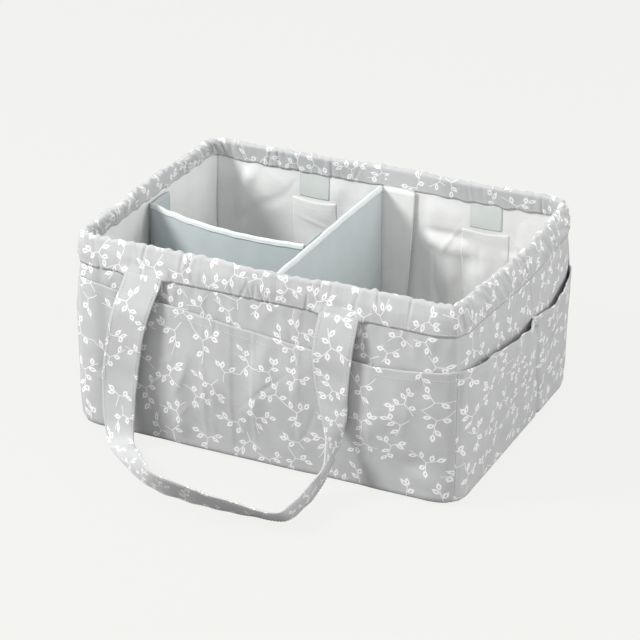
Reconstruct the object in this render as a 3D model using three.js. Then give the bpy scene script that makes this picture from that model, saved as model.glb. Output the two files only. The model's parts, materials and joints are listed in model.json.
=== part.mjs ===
// A soft nursery caddy: printed cotton walls over thin boards, a gathered elastic rim,
// pockets on every side, two strap handles and two lift-out dividers.
// Millimetres, +Z up, the front wall faces -Y. The origin is the middle of the underside.
import * as THREE from 'three';

// Overall size of the basket, measured over its outer cloth
const WIDTH = 380;
const DEPTH = 275;
const HEIGHT = 191;
const CORNER_RADIUS = 28;
const CORNER_STEPS = 6;

// Layers of a wall and of the base, from the outside in
const GAP = 0.3;
const SHELL_THICKNESS = 1;
const BOARD_THICKNESS = 4;
const LINING_THICKNESS = 1;
const BASE_THICKNESS = 1.2;
const BASE_BOARD_THICKNESS = 4;
const SIDE_SEAM_Y = 45;

// Gathered rim: a folded casing with an elastic band inside it
const CASING_OUTER_DROP = 28;
const CASING_INNER_DROP = 17;
const CASING_THICKNESS = 1;
const BOARD_TOP_CLEARANCE = 3;
const ELASTIC_THICKNESS = 2.6;
const ELASTIC_CLEARANCE = 0.6;
const ELASTIC_MARGIN = 2;
const SIDE_GATHER_PITCH = 13;
const LONG_GATHER_PITCH = 30;
const SIDE_PUFF = 4;
const LONG_PUFF = 1.6;
const VALLEY_PUFF_SHARE = 0.25;
const INNER_PUFF = 0.9;
const GATHER_DIP = 1.4;

// Outer pockets
const POCKET_THICKNESS = 1.4;
const POCKET_GAPE = 6.5;
const POCKET_EDGE = 35;
const POCKET_BOTTOM = 3;
const LONG_POCKET_TOP = 138;
const SIDE_POCKET_TOP = 130;
const MOUTH_DIP = 13;

// Line of a pocket's mouth: [share of its length, share of the dip below its top]
const LONG_MOUTH = [[0, 0], [0.3, 0.1], [0.5, 0.35], [0.8, 1], [1, 0.4]];
const SIDE_MOUTH = [[0, 0], [0.4, 0.35], [1, 1]];
const SHORT_MOUTH = [[0, 1], [0.3, 0.9], [1, 0.1]];

// Strap handles: the sewn tab, and the strap that swings on its stitch line
const STRAP_WIDTH = 38;
const STRAP_THICKNESS = 2.6;
const STRAP_STEPS = 3;
const HANDLE_SPAN = 193;
const HANDLE_OFFSET = -18.5;
const TAB_THICKNESS = 2;
const TAB_HEIGHT = 15;
const HINGE_BELOW_SEAM = 2;
const STRAP_CLEARANCE = 0.6;
const LOOP_REACH = 90;

// Hook-and-loop patches and the narrow pockets under them, inside the back wall
const PATCH_WIDTH = 33;
const PATCH_HEIGHT = 27;
const PATCH_THICKNESS = 1.2;
const PATCH_PITCH = 90;
const PATCH_OFFSET = 15;
const PATCH_BELOW_CASING = 1.5;
const INNER_POCKET_WIDTH = 48;
const INNER_POCKET_DEPTH = 80;
const INNER_POCKET_GAPE = 7;
const INNER_POCKET_EDGE = 10;
const INNER_POCKET_THICKNESS = 1.2;
const INNER_POCKET_BELOW_PATCH = 2.5;

// Dividers: a board between two covers, bound along the top, with a flange at each end
const DIVIDER_BELOW_RIM = 18;
const DIVIDER_BOARD = 2.4;
const COVER_THICKNESS = 0.6;
const BINDING_THICKNESS = 0.6;
const BINDING_DROP = 10;
const FLANGE_WIDTH = 39;
const FLANGE_THICKNESS = 1.2;
const CROSS_DIVIDER_X = -3;
const LONG_DIVIDER_LEFT_Y = -5;
const LONG_DIVIDER_RIGHT_Y = -30;
const LONG_DIVIDER_BOW = 13;
const LONG_DIVIDER_STEPS = 10;
const CROSS_PATCH_WIDTH = 26;

// Values worked out from the sizes above
const WALL = SHELL_THICKNESS + GAP + BOARD_THICKNESS + GAP + LINING_THICKNESS;
const BOARD_INSET = SHELL_THICKNESS + GAP;
const LINING_INSET = BOARD_INSET + BOARD_THICKNESS + GAP;
const PATCH_INSET = WALL + GAP;
const FLANGE_INSET = PATCH_INSET + PATCH_THICKNESS + GAP;
const DIVIDER_END_INSET = FLANGE_INSET + FLANGE_THICKNESS + GAP;
const BASE_BOARD_Z = BASE_THICKNESS + GAP;
const WALL_BOARD_Z = BASE_BOARD_Z + BASE_BOARD_THICKNESS + GAP;
const FLOOR_Z = WALL_BOARD_Z + LINING_THICKNESS;
const SEAM_Z = HEIGHT - CASING_OUTER_DROP;
const LINING_TOP = HEIGHT - CASING_INNER_DROP - GAP;
const DIVIDER_Z = FLOOR_Z + GAP;
const DIVIDER_TOP = HEIGHT - DIVIDER_BELOW_RIM - GAP - BINDING_THICKNESS;
const PATCH_TOP = LINING_TOP - PATCH_BELOW_CASING;
const COVER_HALF = DIVIDER_BOARD / 2 + GAP + COVER_THICKNESS;
const HINGE_Z = SEAM_Z - HINGE_BELOW_SEAM;
const HINGE_OUT = GAP + TAB_THICKNESS + GAP + STRAP_THICKNESS / 2;
const POCKET_FACE = GAP + POCKET_GAPE + POCKET_THICKNESS;
const HANG_OUT = POCKET_FACE + STRAP_CLEARANCE + STRAP_THICKNESS / 2 - HINGE_OUT;

// Plan outline: four straight walls and four round corners, walked anticlockwise.
// Distances along it start at the middle of the front wall.
const STRAIGHT_X = WIDTH - 2 * CORNER_RADIUS;
const STRAIGHT_Y = DEPTH - 2 * CORNER_RADIUS;
const ARC = (Math.PI / 2) * CORNER_RADIUS;
const LAP = 2 * STRAIGHT_X + 2 * STRAIGHT_Y + 4 * ARC;
const CORNER_START = STRAIGHT_X / 2;
const CORNER_MIDDLE = CORNER_START + ARC / 2;
const SIDE_START = CORNER_START + ARC;
const SIDE_END = SIDE_START + STRAIGHT_Y;
const REAR_CORNER_MIDDLE = SIDE_END + ARC / 2;
const SEAM_AT = SIDE_START + STRAIGHT_Y / 2 + SIDE_SEAM_Y;

// Point and outward direction of the outline at a distance along it
function outlineAt(distance) {
  const walls = [
    { length: STRAIGHT_X, reach: DEPTH / 2 },
    { length: STRAIGHT_Y, reach: WIDTH / 2 },
    { length: STRAIGHT_X, reach: DEPTH / 2 },
    { length: STRAIGHT_Y, reach: WIDTH / 2 },
  ];
  let rest = THREE.MathUtils.euclideanModulo(distance + STRAIGHT_X / 2, LAP);
  let wall = 0;
  while (wall < walls.length - 1 && rest > walls[wall].length + ARC) {
    rest -= walls[wall].length + ARC;
    wall += 1;
  }
  const { length, reach } = walls[wall];
  const angle = Math.max(rest - length, 0) / CORNER_RADIUS;
  const out = new THREE.Vector2(Math.sin(angle), -Math.cos(angle));
  const centre = new THREE.Vector2(Math.min(rest, length) - length / 2, CORNER_RADIUS - reach);
  const point = centre.addScaledVector(out, CORNER_RADIUS);
  const middle = new THREE.Vector2();
  const turn = (wall * Math.PI) / 2;
  return { point: point.rotateAround(middle, turn), out: out.rotateAround(middle, turn) };
}

// A point of the wall, a depth inside the outer face and at a height
function wallPoint(distance, inset, z) {
  const { point, out } = outlineAt(distance);
  return new THREE.Vector3(point.x - out.x * inset, point.y - out.y * inset, z);
}

// Distances between two ends of a wall piece, with the round corners cut into steps
function stations(from, to) {
  const marks = [from, to];
  const corners = [CORNER_START, SIDE_END];
  for (const half of [-2, -1, 0, 1]) {
    for (const start of corners) {
      for (let step = 0; step <= CORNER_STEPS; step += 1) {
        marks.push(start + (half * LAP) / 2 + (ARC * step) / CORNER_STEPS);
      }
    }
  }
  return marks.filter((mark) => mark >= from && mark <= to).sort((a, b) => a - b);
}

function middleOf(low, high) {
  return (low + high) / 2;
}

// Turn a mesh of points and quads into a geometry whose faces point out
function solid(points, quads) {
  const geometry = new THREE.BufferGeometry().setFromPoints(points);
  const faces = quads.flatMap(([a, b, c, d]) => [[a, b, c], [a, c, d]]);
  const volume = faces.reduce((sum, [a, b, c]) => {
    const normal = new THREE.Vector3().crossVectors(points[b], points[c]);
    return sum + points[a].dot(normal);
  }, 0);
  const outward = volume < 0 ? faces.map(([a, b, c]) => [a, c, b]) : faces;
  geometry.setIndex(outward.flat());
  geometry.computeVertexNormals();
  return geometry;
}

// A closed sheet: pointAt(u, v, side) gives its two faces, and strips close its four edges
function sheet(pointAt, us, vs) {
  const points = [];
  for (const side of [0, 1]) {
    for (const v of vs) {
      points.push(...us.map((u) => pointAt(u, v, side)));
    }
  }
  const at = (side, row, column) => (side * vs.length + row) * us.length + column;
  const top = vs.length - 1;
  const end = us.length - 1;
  const quads = [];
  for (let row = 0; row < top; row += 1) {
    for (let column = 0; column < end; column += 1) {
      const next = column + 1;
      const above = row + 1;
      quads.push([at(0, row, column), at(0, row, next), at(0, above, next), at(0, above, column)]);
      quads.push([at(1, row, column), at(1, above, column), at(1, above, next), at(1, row, next)]);
    }
  }
  for (let column = 0; column < end; column += 1) {
    const next = column + 1;
    quads.push([at(0, 0, next), at(0, 0, column), at(1, 0, column), at(1, 0, next)]);
    quads.push([at(0, top, column), at(0, top, next), at(1, top, next), at(1, top, column)]);
  }
  for (let row = 0; row < top; row += 1) {
    const above = row + 1;
    quads.push([at(0, row, 0), at(0, above, 0), at(1, above, 0), at(1, row, 0)]);
    quads.push([at(0, above, end), at(0, row, end), at(1, row, end), at(1, above, end)]);
  }
  return solid(points, quads);
}

// A closed ring of equal sections
function ring(sections) {
  const count = sections[0].length;
  const quads = [];
  sections.forEach((section, column) => {
    const here = column * count;
    const next = ((column + 1) % sections.length) * count;
    for (let spot = 0; spot < count; spot += 1) {
      const after = (spot + 1) % count;
      quads.push([here + spot, next + spot, next + after, here + after]);
    }
  });
  return solid(sections.flat(), quads);
}

// A layer of the wall between two distances, two heights and two depths
function wallLayer(from, to, low, high, inset, thickness) {
  const pointAt = (u, v, side) => wallPoint(u, inset + side * thickness, v);
  return sheet(pointAt, stations(from + GAP / 2, to - GAP / 2), [low, high]);
}

// A flat layer of the base, with the plan's round corners
function basePlate(inset, low, thickness) {
  const rim = stations(-LAP / 2, LAP / 2).slice(1).map((mark) => wallPoint(mark, inset, 0));
  const shape = new THREE.Shape(rim.map((point) => new THREE.Vector2(point.x, point.y)));
  const plate = new THREE.ExtrudeGeometry(shape, { depth: thickness, bevelEnabled: false });
  return plate.translate(0, 0, low);
}

function box(x, y, z) {
  const geometry = new THREE.BoxGeometry(x[1] - x[0], y[1] - y[0], z[1] - z[0]);
  return geometry.translate(middleOf(...x), middleOf(...y), middleOf(...z));
}

function around(centre, width) {
  return [centre - width / 2, centre + width / 2];
}

// How far a sewn pocket stands open: 0 along its seams, 1 between them
function openness(distance, from, to, edge) {
  return Math.min(1, (distance - from) / edge, (to - distance) / edge);
}

// Share of the dip at a share of a mouth's length
function dipAt(mouth, share) {
  const next = Math.max(1, mouth.findIndex(([mark]) => mark >= share));
  const [before, dip] = mouth[next - 1];
  const [after, nextDip] = mouth[next];
  return THREE.MathUtils.mapLinear(share, before, after, dip, nextDip);
}

// The same mouth line walked from its other end
function reversed(mouth) {
  return mouth.map(([share, dip]) => [1 - share, dip]).reverse();
}

// Outer pocket: sewn along its bottom and both ends, standing open along its mouth
function outerPocket(from, to, top, mouth) {
  const start = from + GAP / 2;
  const end = to - GAP / 2;
  const bends = mouth.slice(1, -1).map(([share]) => THREE.MathUtils.lerp(start, end, share));
  const marks = [...stations(start, end), start + POCKET_EDGE, end - POCKET_EDGE, ...bends];
  const pointAt = (u, v, side) => {
    const gape = POCKET_GAPE * openness(u, start, end, POCKET_EDGE) * v;
    const inset = -GAP - gape - side * POCKET_THICKNESS;
    const lip = top - MOUTH_DIP * dipAt(mouth, (u - start) / (end - start));
    return wallPoint(u, inset, THREE.MathUtils.lerp(POCKET_BOTTOM, lip, v));
  };
  return sheet(pointAt, marks.sort((a, b) => a - b), [0, 1]);
}

// Narrow pocket inside the back wall, under a loop patch
function innerPocket(centre) {
  const top = PATCH_TOP - PATCH_HEIGHT - INNER_POCKET_BELOW_PATCH;
  const [from, to] = around(centre, INNER_POCKET_WIDTH);
  const face = DEPTH / 2 - WALL - GAP;
  const pointAt = (u, v, side) => {
    const gape = INNER_POCKET_GAPE * openness(u, from, to, INNER_POCKET_EDGE) * v;
    const y = face - gape - side * INNER_POCKET_THICKNESS;
    return new THREE.Vector3(u, y, top - INNER_POCKET_DEPTH * (1 - v));
  };
  return sheet(pointAt, [from, from + INNER_POCKET_EDGE, to - INNER_POCKET_EDGE, to], [0, 1]);
}

// Columns of the gathered casing: crests and valleys in turn, close on the sides, far on the long walls
function gatherColumns() {
  const runs = [
    { from: -CORNER_START, to: CORNER_START, pitch: LONG_GATHER_PITCH },
    { from: CORNER_START, to: SIDE_END + ARC, pitch: SIDE_GATHER_PITCH },
    { from: SIDE_END + ARC, to: SIDE_END + ARC + STRAIGHT_X, pitch: LONG_GATHER_PITCH },
    { from: SIDE_END + ARC + STRAIGHT_X, to: LAP - CORNER_START, pitch: SIDE_GATHER_PITCH },
  ];
  return runs.flatMap(({ from, to, pitch }) => {
    const count = 2 * Math.round((to - from) / pitch);
    const columns = Array.from({ length: count }, (_, index) => index);
    return columns.map((index) => ({ at: from + ((to - from) * index) / count, crest: index % 2 }));
  });
}

// One section of the casing: up the outer leg, over the fold and down the inner leg, and back inside
function casingSection({ at, crest }) {
  const sideways = Math.abs(outlineAt(at).out.x);
  const fullness = THREE.MathUtils.lerp(VALLEY_PUFF_SHARE, 1, crest);
  const puff = THREE.MathUtils.lerp(LONG_PUFF, SIDE_PUFF, sideways) * fullness;
  const tuck = INNER_PUFF * crest;
  const top = HEIGHT - GATHER_DIP * (1 - crest);
  const radius = WALL / 2;
  const slant = radius * (1 - Math.SQRT1_2);
  const outerLow = SEAM_Z + GAP;
  const innerLow = HEIGHT - CASING_INNER_DROP;
  const shoulder = top - radius;
  const skin = CASING_THICKNESS;
  const profile = [
    [0, outerLow],
    [-puff, middleOf(outerLow, shoulder)],
    [-puff / 2, shoulder],
    [slant, top - slant],
    [radius, top],
    [WALL - slant, top - slant],
    [WALL + tuck / 2, shoulder],
    [WALL + tuck, middleOf(innerLow, shoulder)],
    [WALL, innerLow],
    [WALL - skin, innerLow],
    [WALL + tuck - skin, middleOf(innerLow, shoulder)],
    [WALL - skin, shoulder],
    [radius, top - skin],
    [skin, shoulder],
    [skin - puff, middleOf(outerLow, shoulder)],
    [skin, outerLow],
  ];
  return profile.map(([inset, z]) => wallPoint(at, inset, z));
}

function elasticBand() {
  const low = SEAM_Z + ELASTIC_MARGIN;
  const high = HEIGHT - GATHER_DIP - CASING_THICKNESS - ELASTIC_MARGIN;
  const outer = CASING_THICKNESS + ELASTIC_CLEARANCE;
  const inner = outer + ELASTIC_THICKNESS;
  const marks = stations(-LAP / 2, LAP / 2).slice(1);
  const corners = [[outer, low], [outer, high], [inner, high], [inner, low]];
  return ring(marks.map((mark) => corners.map(([inset, z]) => wallPoint(mark, inset, z))));
}

// How far out of the hinge line the hanging strap is, at a share of the loop's reach
function hangAt(reach) {
  return HANG_OUT + reach * LOOP_REACH;
}

// Route of the front strap, from its right end to its left end. Each place is
// [share of the span from the left leg, distance out from the hinge line, share of the hinge height],
// then the direction from the loop's inner edge to its outer edge, and the share of the width it shows.
// The right leg turns on edge as it comes down, and the loop stands on its outer edge on the table,
// leaning outwards, until it climbs the left leg.
const STRAP_ROUTE = [
  { place: [1, 0, 1], across: [1, 0, 0], spread: 1 },
  { place: [0.99, hangAt(0), 0.84], across: [1, 0, -0.04], spread: 1 },
  { place: [0.99, hangAt(0.02), 0.63], across: [1, 0, -0.09], spread: 0.86 },
  { place: [1.01, hangAt(0.06), 0.44], across: [0.97, 0.2, -0.07], spread: 0.6 },
  { place: [1.02, hangAt(0.14), 0.29], across: [0.3, 0.8, -0.5], spread: 0.5 },
  { place: [1.01, hangAt(0.25), 0.16], across: [-0.2, 0.75, -0.64], spread: 0.78 },
  { place: [0.985, hangAt(0.37), 0.085], across: [-0.19, 0.7, -0.69], spread: 0.88 },
  { place: [0.985, hangAt(0.575), 0.075], across: [-0.15, 0.72, -0.68], spread: 0.89 },
  { place: [0.98, hangAt(0.77), 0.075], across: [-0.19, 0.69, -0.7], spread: 0.89 },
  { place: [0.96, hangAt(0.97), 0.073], across: [-0.22, 0.7, -0.68], spread: 0.89 },
  { place: [0.89, hangAt(1), 0.07], across: [-0.3, 0.71, -0.63], spread: 0.89 },
  { place: [0.8, hangAt(1), 0.072], across: [-0.35, 0.66, -0.66], spread: 0.89 },
  { place: [0.7, hangAt(1), 0.077], across: [-0.33, 0.62, -0.71], spread: 0.89 },
  { place: [0.57, hangAt(1), 0.083], across: [-0.27, 0.59, -0.76], spread: 0.89 },
  { place: [0.44, hangAt(0.98), 0.088], across: [-0.24, 0.54, -0.8], spread: 0.89 },
  { place: [0.33, hangAt(0.95), 0.088], across: [-0.28, 0.52, -0.8], spread: 0.89 },
  { place: [0.25, hangAt(0.88), 0.085], across: [-0.39, 0.5, -0.77], spread: 0.89 },
  { place: [0.16, hangAt(0.735), 0.082], across: [-0.54, 0.39, -0.75], spread: 0.89 },
  { place: [0.055, hangAt(0.52), 0.068], across: [-0.75, 0.27, -0.6], spread: 0.86 },
  { place: [-0.065, hangAt(0.23), 0.045], across: [-0.97, 0, -0.23], spread: 0.74 },
  { place: [-0.09, hangAt(0.14), 0.105], across: [-1, 0, -0.05], spread: 0.8 },
  { place: [-0.1, hangAt(0.06), 0.24], across: [-1, 0, -0.07], spread: 0.9 },
  { place: [-0.09, hangAt(0.016), 0.455], across: [-1, 0, -0.06], spread: 0.97 },
  { place: [-0.055, hangAt(0), 0.72], across: [-1, 0, -0.03], spread: 0.97 },
  { place: [-0.03, hangAt(0), 0.86], across: [-1, 0, 0], spread: 1 },
  { place: [0, 0, 1], across: [-1, 0, 0], spread: 1 },
];

function strap() {
  const leftLeg = HANDLE_OFFSET - HANDLE_SPAN / 2;
  const tableClear = STRAP_THICKNESS / 2 + GAP;
  const centres = STRAP_ROUTE.map(({ place: [share, out, height] }) => new THREE.Vector3(
    leftLeg + share * HANDLE_SPAN,
    -(DEPTH / 2 + HINGE_OUT + out),
    THREE.MathUtils.lerp(tableClear, HINGE_Z, height),
  ));
  const halves = STRAP_ROUTE.map(({ across, spread }) => (
    new THREE.Vector3(...across).setLength((spread * STRAP_WIDTH) / 2)
  ));
  const middleLine = new THREE.CatmullRomCurve3(centres);
  const halfWidth = new THREE.CatmullRomCurve3(halves);
  const count = STRAP_STEPS * (STRAP_ROUTE.length - 1);
  const pointAt = (u, v, side) => {
    const half = halfWidth.getPoint(v);
    const normal = new THREE.Vector3().crossVectors(middleLine.getTangent(v), half).normalize();
    const lift = (side - 0.5) * STRAP_THICKNESS;
    return middleLine.getPoint(v).addScaledVector(half, u).addScaledVector(normal, lift);
  };
  const shares = Array.from({ length: count + 1 }, (_, index) => index / count);
  return sheet(pointAt, [-1, 0, 1], shares);
}

// The sewn end of a strap, flat on the wall just under the rim seam
function strapTab(legX) {
  const face = -DEPTH / 2 - GAP;
  return box(around(legX, STRAP_WIDTH), [face - TAB_THICKNESS, face], [SEAM_Z - TAB_HEIGHT, SEAM_Z]);
}

// A loop patch on the inside of the back wall
function backPatch(centre) {
  const face = DEPTH / 2 - PATCH_INSET;
  const heights = [PATCH_TOP - PATCH_HEIGHT, PATCH_TOP];
  return box(around(centre, PATCH_WIDTH), [face - PATCH_THICKNESS, face], heights);
}

// Plan line of the long divider, which bows towards the front
function longDividerPoint(share, sideways, z) {
  const left = DIVIDER_END_INSET - WIDTH / 2;
  const right = CROSS_DIVIDER_X - COVER_HALF - (DIVIDER_END_INSET - WALL);
  const bow = 4 * share * (1 - share) * LONG_DIVIDER_BOW;
  const y = THREE.MathUtils.lerp(LONG_DIVIDER_LEFT_Y, LONG_DIVIDER_RIGHT_Y, share) - bow;
  return new THREE.Vector3(THREE.MathUtils.lerp(left, right, share), y + sideways, z);
}

function crossDividerPoint(share, sideways, z) {
  const half = DEPTH / 2 - DIVIDER_END_INSET;
  return new THREE.Vector3(CROSS_DIVIDER_X + sideways, THREE.MathUtils.lerp(-half, half, share), z);
}

// An upright layer of a divider, between two distances from its middle plane
function dividerLayer(pointOn, shares, nearSide, farSide) {
  const pointAt = (u, v, side) => pointOn(u, side ? farSide : nearSide, v);
  return sheet(pointAt, shares, [DIVIDER_Z, DIVIDER_TOP]);
}

// Binding tape folded over the top edge of a divider
function dividerBinding(pointOn, shares) {
  const low = DIVIDER_TOP - BINDING_DROP;
  const foldAt = (u, side) => {
    const half = COVER_HALF + GAP + side * BINDING_THICKNESS;
    const top = DIVIDER_TOP + GAP + side * BINDING_THICKNESS;
    return [[-half, low], [-half, top], [half, top], [half, low]][u];
  };
  return sheet((u, v, side) => pointOn(v, ...foldAt(u, side)), [0, 1, 2, 3], shares);
}

function cloth(color) {
  return new THREE.MeshStandardMaterial({ color, roughness: 0.9, metalness: 0 });
}

const printedCotton = cloth('#b9babb');
const liningCotton = cloth('#d3d4d3');
const mintCotton = cloth('#c6d3cf');
const bindingTape = cloth('#e6eceb');
const loopTape = cloth('#ccd8d4');
const stiffBoard = new THREE.MeshStandardMaterial({ color: '#e4e2dc', roughness: 0.7, metalness: 0 });
const elasticRubber = new THREE.MeshStandardMaterial({ color: '#efefec', roughness: 0.8, metalness: 0 });

const caddy = new THREE.Group();

function add(name, geometry, material, parent = caddy) {
  const mesh = new THREE.Mesh(geometry, material.clone());
  mesh.name = name;
  parent.add(mesh);
  return mesh;
}

// The back half of the basket repeats the front half turned about the upright axis
const turned = new THREE.Group();
turned.rotation.z = Math.PI;
caddy.add(turned);

// Base
add('base_panel', basePlate(0, 0, BASE_THICKNESS), printedCotton);
add('base_board', basePlate(BOARD_INSET, BASE_BOARD_Z, BASE_BOARD_THICKNESS), stiffBoard);
add('lining_floor', basePlate(LINING_INSET, WALL_BOARD_Z, LINING_THICKNESS), liningCotton);

// Outer cloth, in a front and a back half sewn together on the two sides
const shellOf = (from, to) => wallLayer(from, to, BASE_BOARD_Z, SEAM_Z, 0, SHELL_THICKNESS);
add('front_shell', shellOf(-SEAM_AT, SEAM_AT), printedCotton);
add('back_shell', shellOf(SEAM_AT, LAP - SEAM_AT), printedCotton);

// Boards: flat on the long walls, bent round the corners on the sides
const boardTop = SEAM_Z - BOARD_TOP_CLEARANCE;
const boardOf = (from, to) => wallLayer(from, to, WALL_BOARD_Z, boardTop, BOARD_INSET, BOARD_THICKNESS);
const longBoard = boardOf(-CORNER_START, CORNER_START);
const sideBoard = boardOf(CORNER_START, SIDE_END + ARC);
add('front_board', longBoard, stiffBoard);
add('right_board', sideBoard, stiffBoard);
add('back_board', longBoard, stiffBoard, turned);
add('left_board', sideBoard, stiffBoard, turned);

// Lining, one panel to a wall
const liningOf = (from, to) => wallLayer(from, to, DIVIDER_Z, LINING_TOP, LINING_INSET, LINING_THICKNESS);
const longLining = liningOf(-CORNER_MIDDLE, CORNER_MIDDLE);
const sideLining = liningOf(CORNER_MIDDLE, REAR_CORNER_MIDDLE);
add('lining_front', longLining, liningCotton);
add('lining_right', sideLining, liningCotton);
add('lining_back', longLining, liningCotton, turned);
add('lining_left', sideLining, liningCotton, turned);

// Rim
add('rim_elastic', elasticBand(), elasticRubber);
add('rim_casing', ring(gatherColumns().map(casingSection)), printedCotton);

// Outer pockets, two on each side wall and one on each long wall
const longPocket = outerPocket(-CORNER_MIDDLE, CORNER_MIDDLE, LONG_POCKET_TOP, LONG_MOUTH);
add('front_pocket', longPocket, printedCotton);
add('back_pocket', longPocket, printedCotton, turned);
const sidePocket = (from, to, mouth) => outerPocket(from, to, SIDE_POCKET_TOP, mouth);
add('right_front_pocket', sidePocket(CORNER_MIDDLE, SEAM_AT, SIDE_MOUTH), printedCotton);
add('right_rear_pocket', sidePocket(SEAM_AT, REAR_CORNER_MIDDLE, SHORT_MOUTH), printedCotton);
add('left_front_pocket', sidePocket(-SEAM_AT, -CORNER_MIDDLE, reversed(SIDE_MOUTH)), printedCotton);
add('left_rear_pocket', sidePocket(-REAR_CORNER_MIDDLE, -SEAM_AT, reversed(SHORT_MOUTH)), printedCotton);

// Handles. On the turned back wall the first leg is the right one
for (const [side, parent, first, second] of [
  ['front', caddy, 'left', 'right'],
  ['back', turned, 'right', 'left'],
]) {
  add(`${side}_handle`, strap(), printedCotton, parent);
  add(`${side}_handle_tab_${first}`, strapTab(HANDLE_OFFSET - HANDLE_SPAN / 2), printedCotton, parent);
  add(`${side}_handle_tab_${second}`, strapTab(HANDLE_OFFSET + HANDLE_SPAN / 2), printedCotton, parent);
}

// Loop patches for the dividers, and the narrow pockets under the two that stay bare
for (const [name, step] of [['left', -1], ['middle', 0], ['right', 1]]) {
  const centre = PATCH_OFFSET + step * PATCH_PITCH;
  add(`back_patch_${name}`, backPatch(centre), loopTape);
  add(`front_patch_${name}`, backPatch(-centre), loopTape, turned);
  if (step !== 0) {
    add(`inner_pocket_${name}`, innerPocket(centre), liningCotton);
  }
}
const sidePatchFace = PATCH_INSET - WIDTH / 2;
const leftPatchY = LONG_DIVIDER_LEFT_Y - COVER_HALF + FLANGE_WIDTH / 2;
add('left_patch', box(
  [sidePatchFace, sidePatchFace + PATCH_THICKNESS],
  around(leftPatchY, PATCH_WIDTH),
  [PATCH_TOP - PATCH_HEIGHT, PATCH_TOP],
), loopTape);

// Both dividers have the same layers
const crossShares = [0, 1];
const longSteps = Array.from({ length: LONG_DIVIDER_STEPS + 1 }, (_, index) => index);
const longShares = longSteps.map((step) => step / LONG_DIVIDER_STEPS);
for (const [name, pointOn, shares, near, far] of [
  ['cross', crossDividerPoint, crossShares, 'left', 'right'],
  ['long', longDividerPoint, longShares, 'front', 'rear'],
]) {
  const half = DIVIDER_BOARD / 2;
  add(`${name}_divider_board`, dividerLayer(pointOn, shares, -half, half), stiffBoard);
  add(`${name}_divider_${near}_cover`, dividerLayer(pointOn, shares, -COVER_HALF, -half - GAP), mintCotton);
  add(`${name}_divider_${far}_cover`, dividerLayer(pointOn, shares, half + GAP, COVER_HALF), mintCotton);
  add(`${name}_divider_binding`, dividerBinding(pointOn, shares), bindingTape);
}

// Flanges of the cross divider lie along the long walls, towards the right
const uprights = [DIVIDER_Z, DIVIDER_TOP];
const flangeFrom = (middle) => [middle - COVER_HALF, middle - COVER_HALF + FLANGE_WIDTH];
const crossFlangeX = flangeFrom(CROSS_DIVIDER_X);
const crossFlangeFace = DEPTH / 2 - FLANGE_INSET;
const backFlangeY = [crossFlangeFace - FLANGE_THICKNESS, crossFlangeFace];
const frontFlangeY = [-crossFlangeFace, FLANGE_THICKNESS - crossFlangeFace];
add('cross_divider_back_flange', box(crossFlangeX, backFlangeY, uprights), liningCotton);
add('cross_divider_front_flange', box(crossFlangeX, frontFlangeY, uprights), liningCotton);

// Flanges of the long divider lie along the left wall and the cross divider, towards the back
const leftFlangeFace = FLANGE_INSET - WIDTH / 2;
const leftFlangeX = [leftFlangeFace, leftFlangeFace + FLANGE_THICKNESS];
add('long_divider_left_flange', box(leftFlangeX, flangeFrom(LONG_DIVIDER_LEFT_Y), uprights), mintCotton);
const rightFlangeFace = CROSS_DIVIDER_X - COVER_HALF - (FLANGE_INSET - WALL);
const rightFlangeX = [rightFlangeFace - FLANGE_THICKNESS, rightFlangeFace];
const rightFlangeY = flangeFrom(LONG_DIVIDER_RIGHT_Y);
add('long_divider_right_flange', box(rightFlangeX, rightFlangeY, uprights), mintCotton);
const crossPatchX = CROSS_DIVIDER_X - COVER_HALF - GAP;
const crossPatchTop = DIVIDER_TOP - BINDING_DROP - GAP;
add('cross_divider_patch', box(
  [crossPatchX - PATCH_THICKNESS, crossPatchX],
  around(middleOf(...rightFlangeY), CROSS_PATCH_WIDTH),
  [crossPatchTop - PATCH_HEIGHT, crossPatchTop],
), loopTape);

export default caddy;
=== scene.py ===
# %% [markdown]
# # A soft nursery caddy
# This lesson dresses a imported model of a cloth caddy: printed cotton walls, a gathered elastic rim,
# pockets, strap handles and padded dividers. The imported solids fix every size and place, so each
# piece below reads its measurements from them and then adds what cloth does: it bulges, gathers,
# creases, folds and carries stitches.

# %% Load the fixed frame
import json
import math

import bpy
import numpy as np
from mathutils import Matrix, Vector


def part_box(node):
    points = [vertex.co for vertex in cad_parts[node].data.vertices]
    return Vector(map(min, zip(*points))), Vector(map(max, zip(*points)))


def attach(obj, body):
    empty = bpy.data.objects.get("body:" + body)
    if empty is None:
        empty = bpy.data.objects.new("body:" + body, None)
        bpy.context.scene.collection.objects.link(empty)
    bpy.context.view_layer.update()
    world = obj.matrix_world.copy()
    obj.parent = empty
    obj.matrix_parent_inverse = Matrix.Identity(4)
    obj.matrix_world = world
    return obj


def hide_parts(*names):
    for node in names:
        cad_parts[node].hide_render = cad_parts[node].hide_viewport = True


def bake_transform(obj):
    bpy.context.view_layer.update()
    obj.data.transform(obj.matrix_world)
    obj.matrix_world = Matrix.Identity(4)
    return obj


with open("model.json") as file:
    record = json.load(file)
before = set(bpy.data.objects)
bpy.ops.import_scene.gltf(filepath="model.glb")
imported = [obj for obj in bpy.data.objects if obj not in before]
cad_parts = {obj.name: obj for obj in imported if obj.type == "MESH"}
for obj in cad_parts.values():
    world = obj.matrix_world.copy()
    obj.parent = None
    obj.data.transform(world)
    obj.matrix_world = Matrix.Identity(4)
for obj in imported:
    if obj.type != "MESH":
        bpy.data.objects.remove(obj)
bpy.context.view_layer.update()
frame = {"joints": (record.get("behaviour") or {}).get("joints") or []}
MM = 0.001

# %% [markdown]
# ## Camera first
# The photograph was taken with a long lens from the front right, a little above. A long lens keeps
# the walls nearly parallel, so the camera stands more than two metres away.

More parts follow.
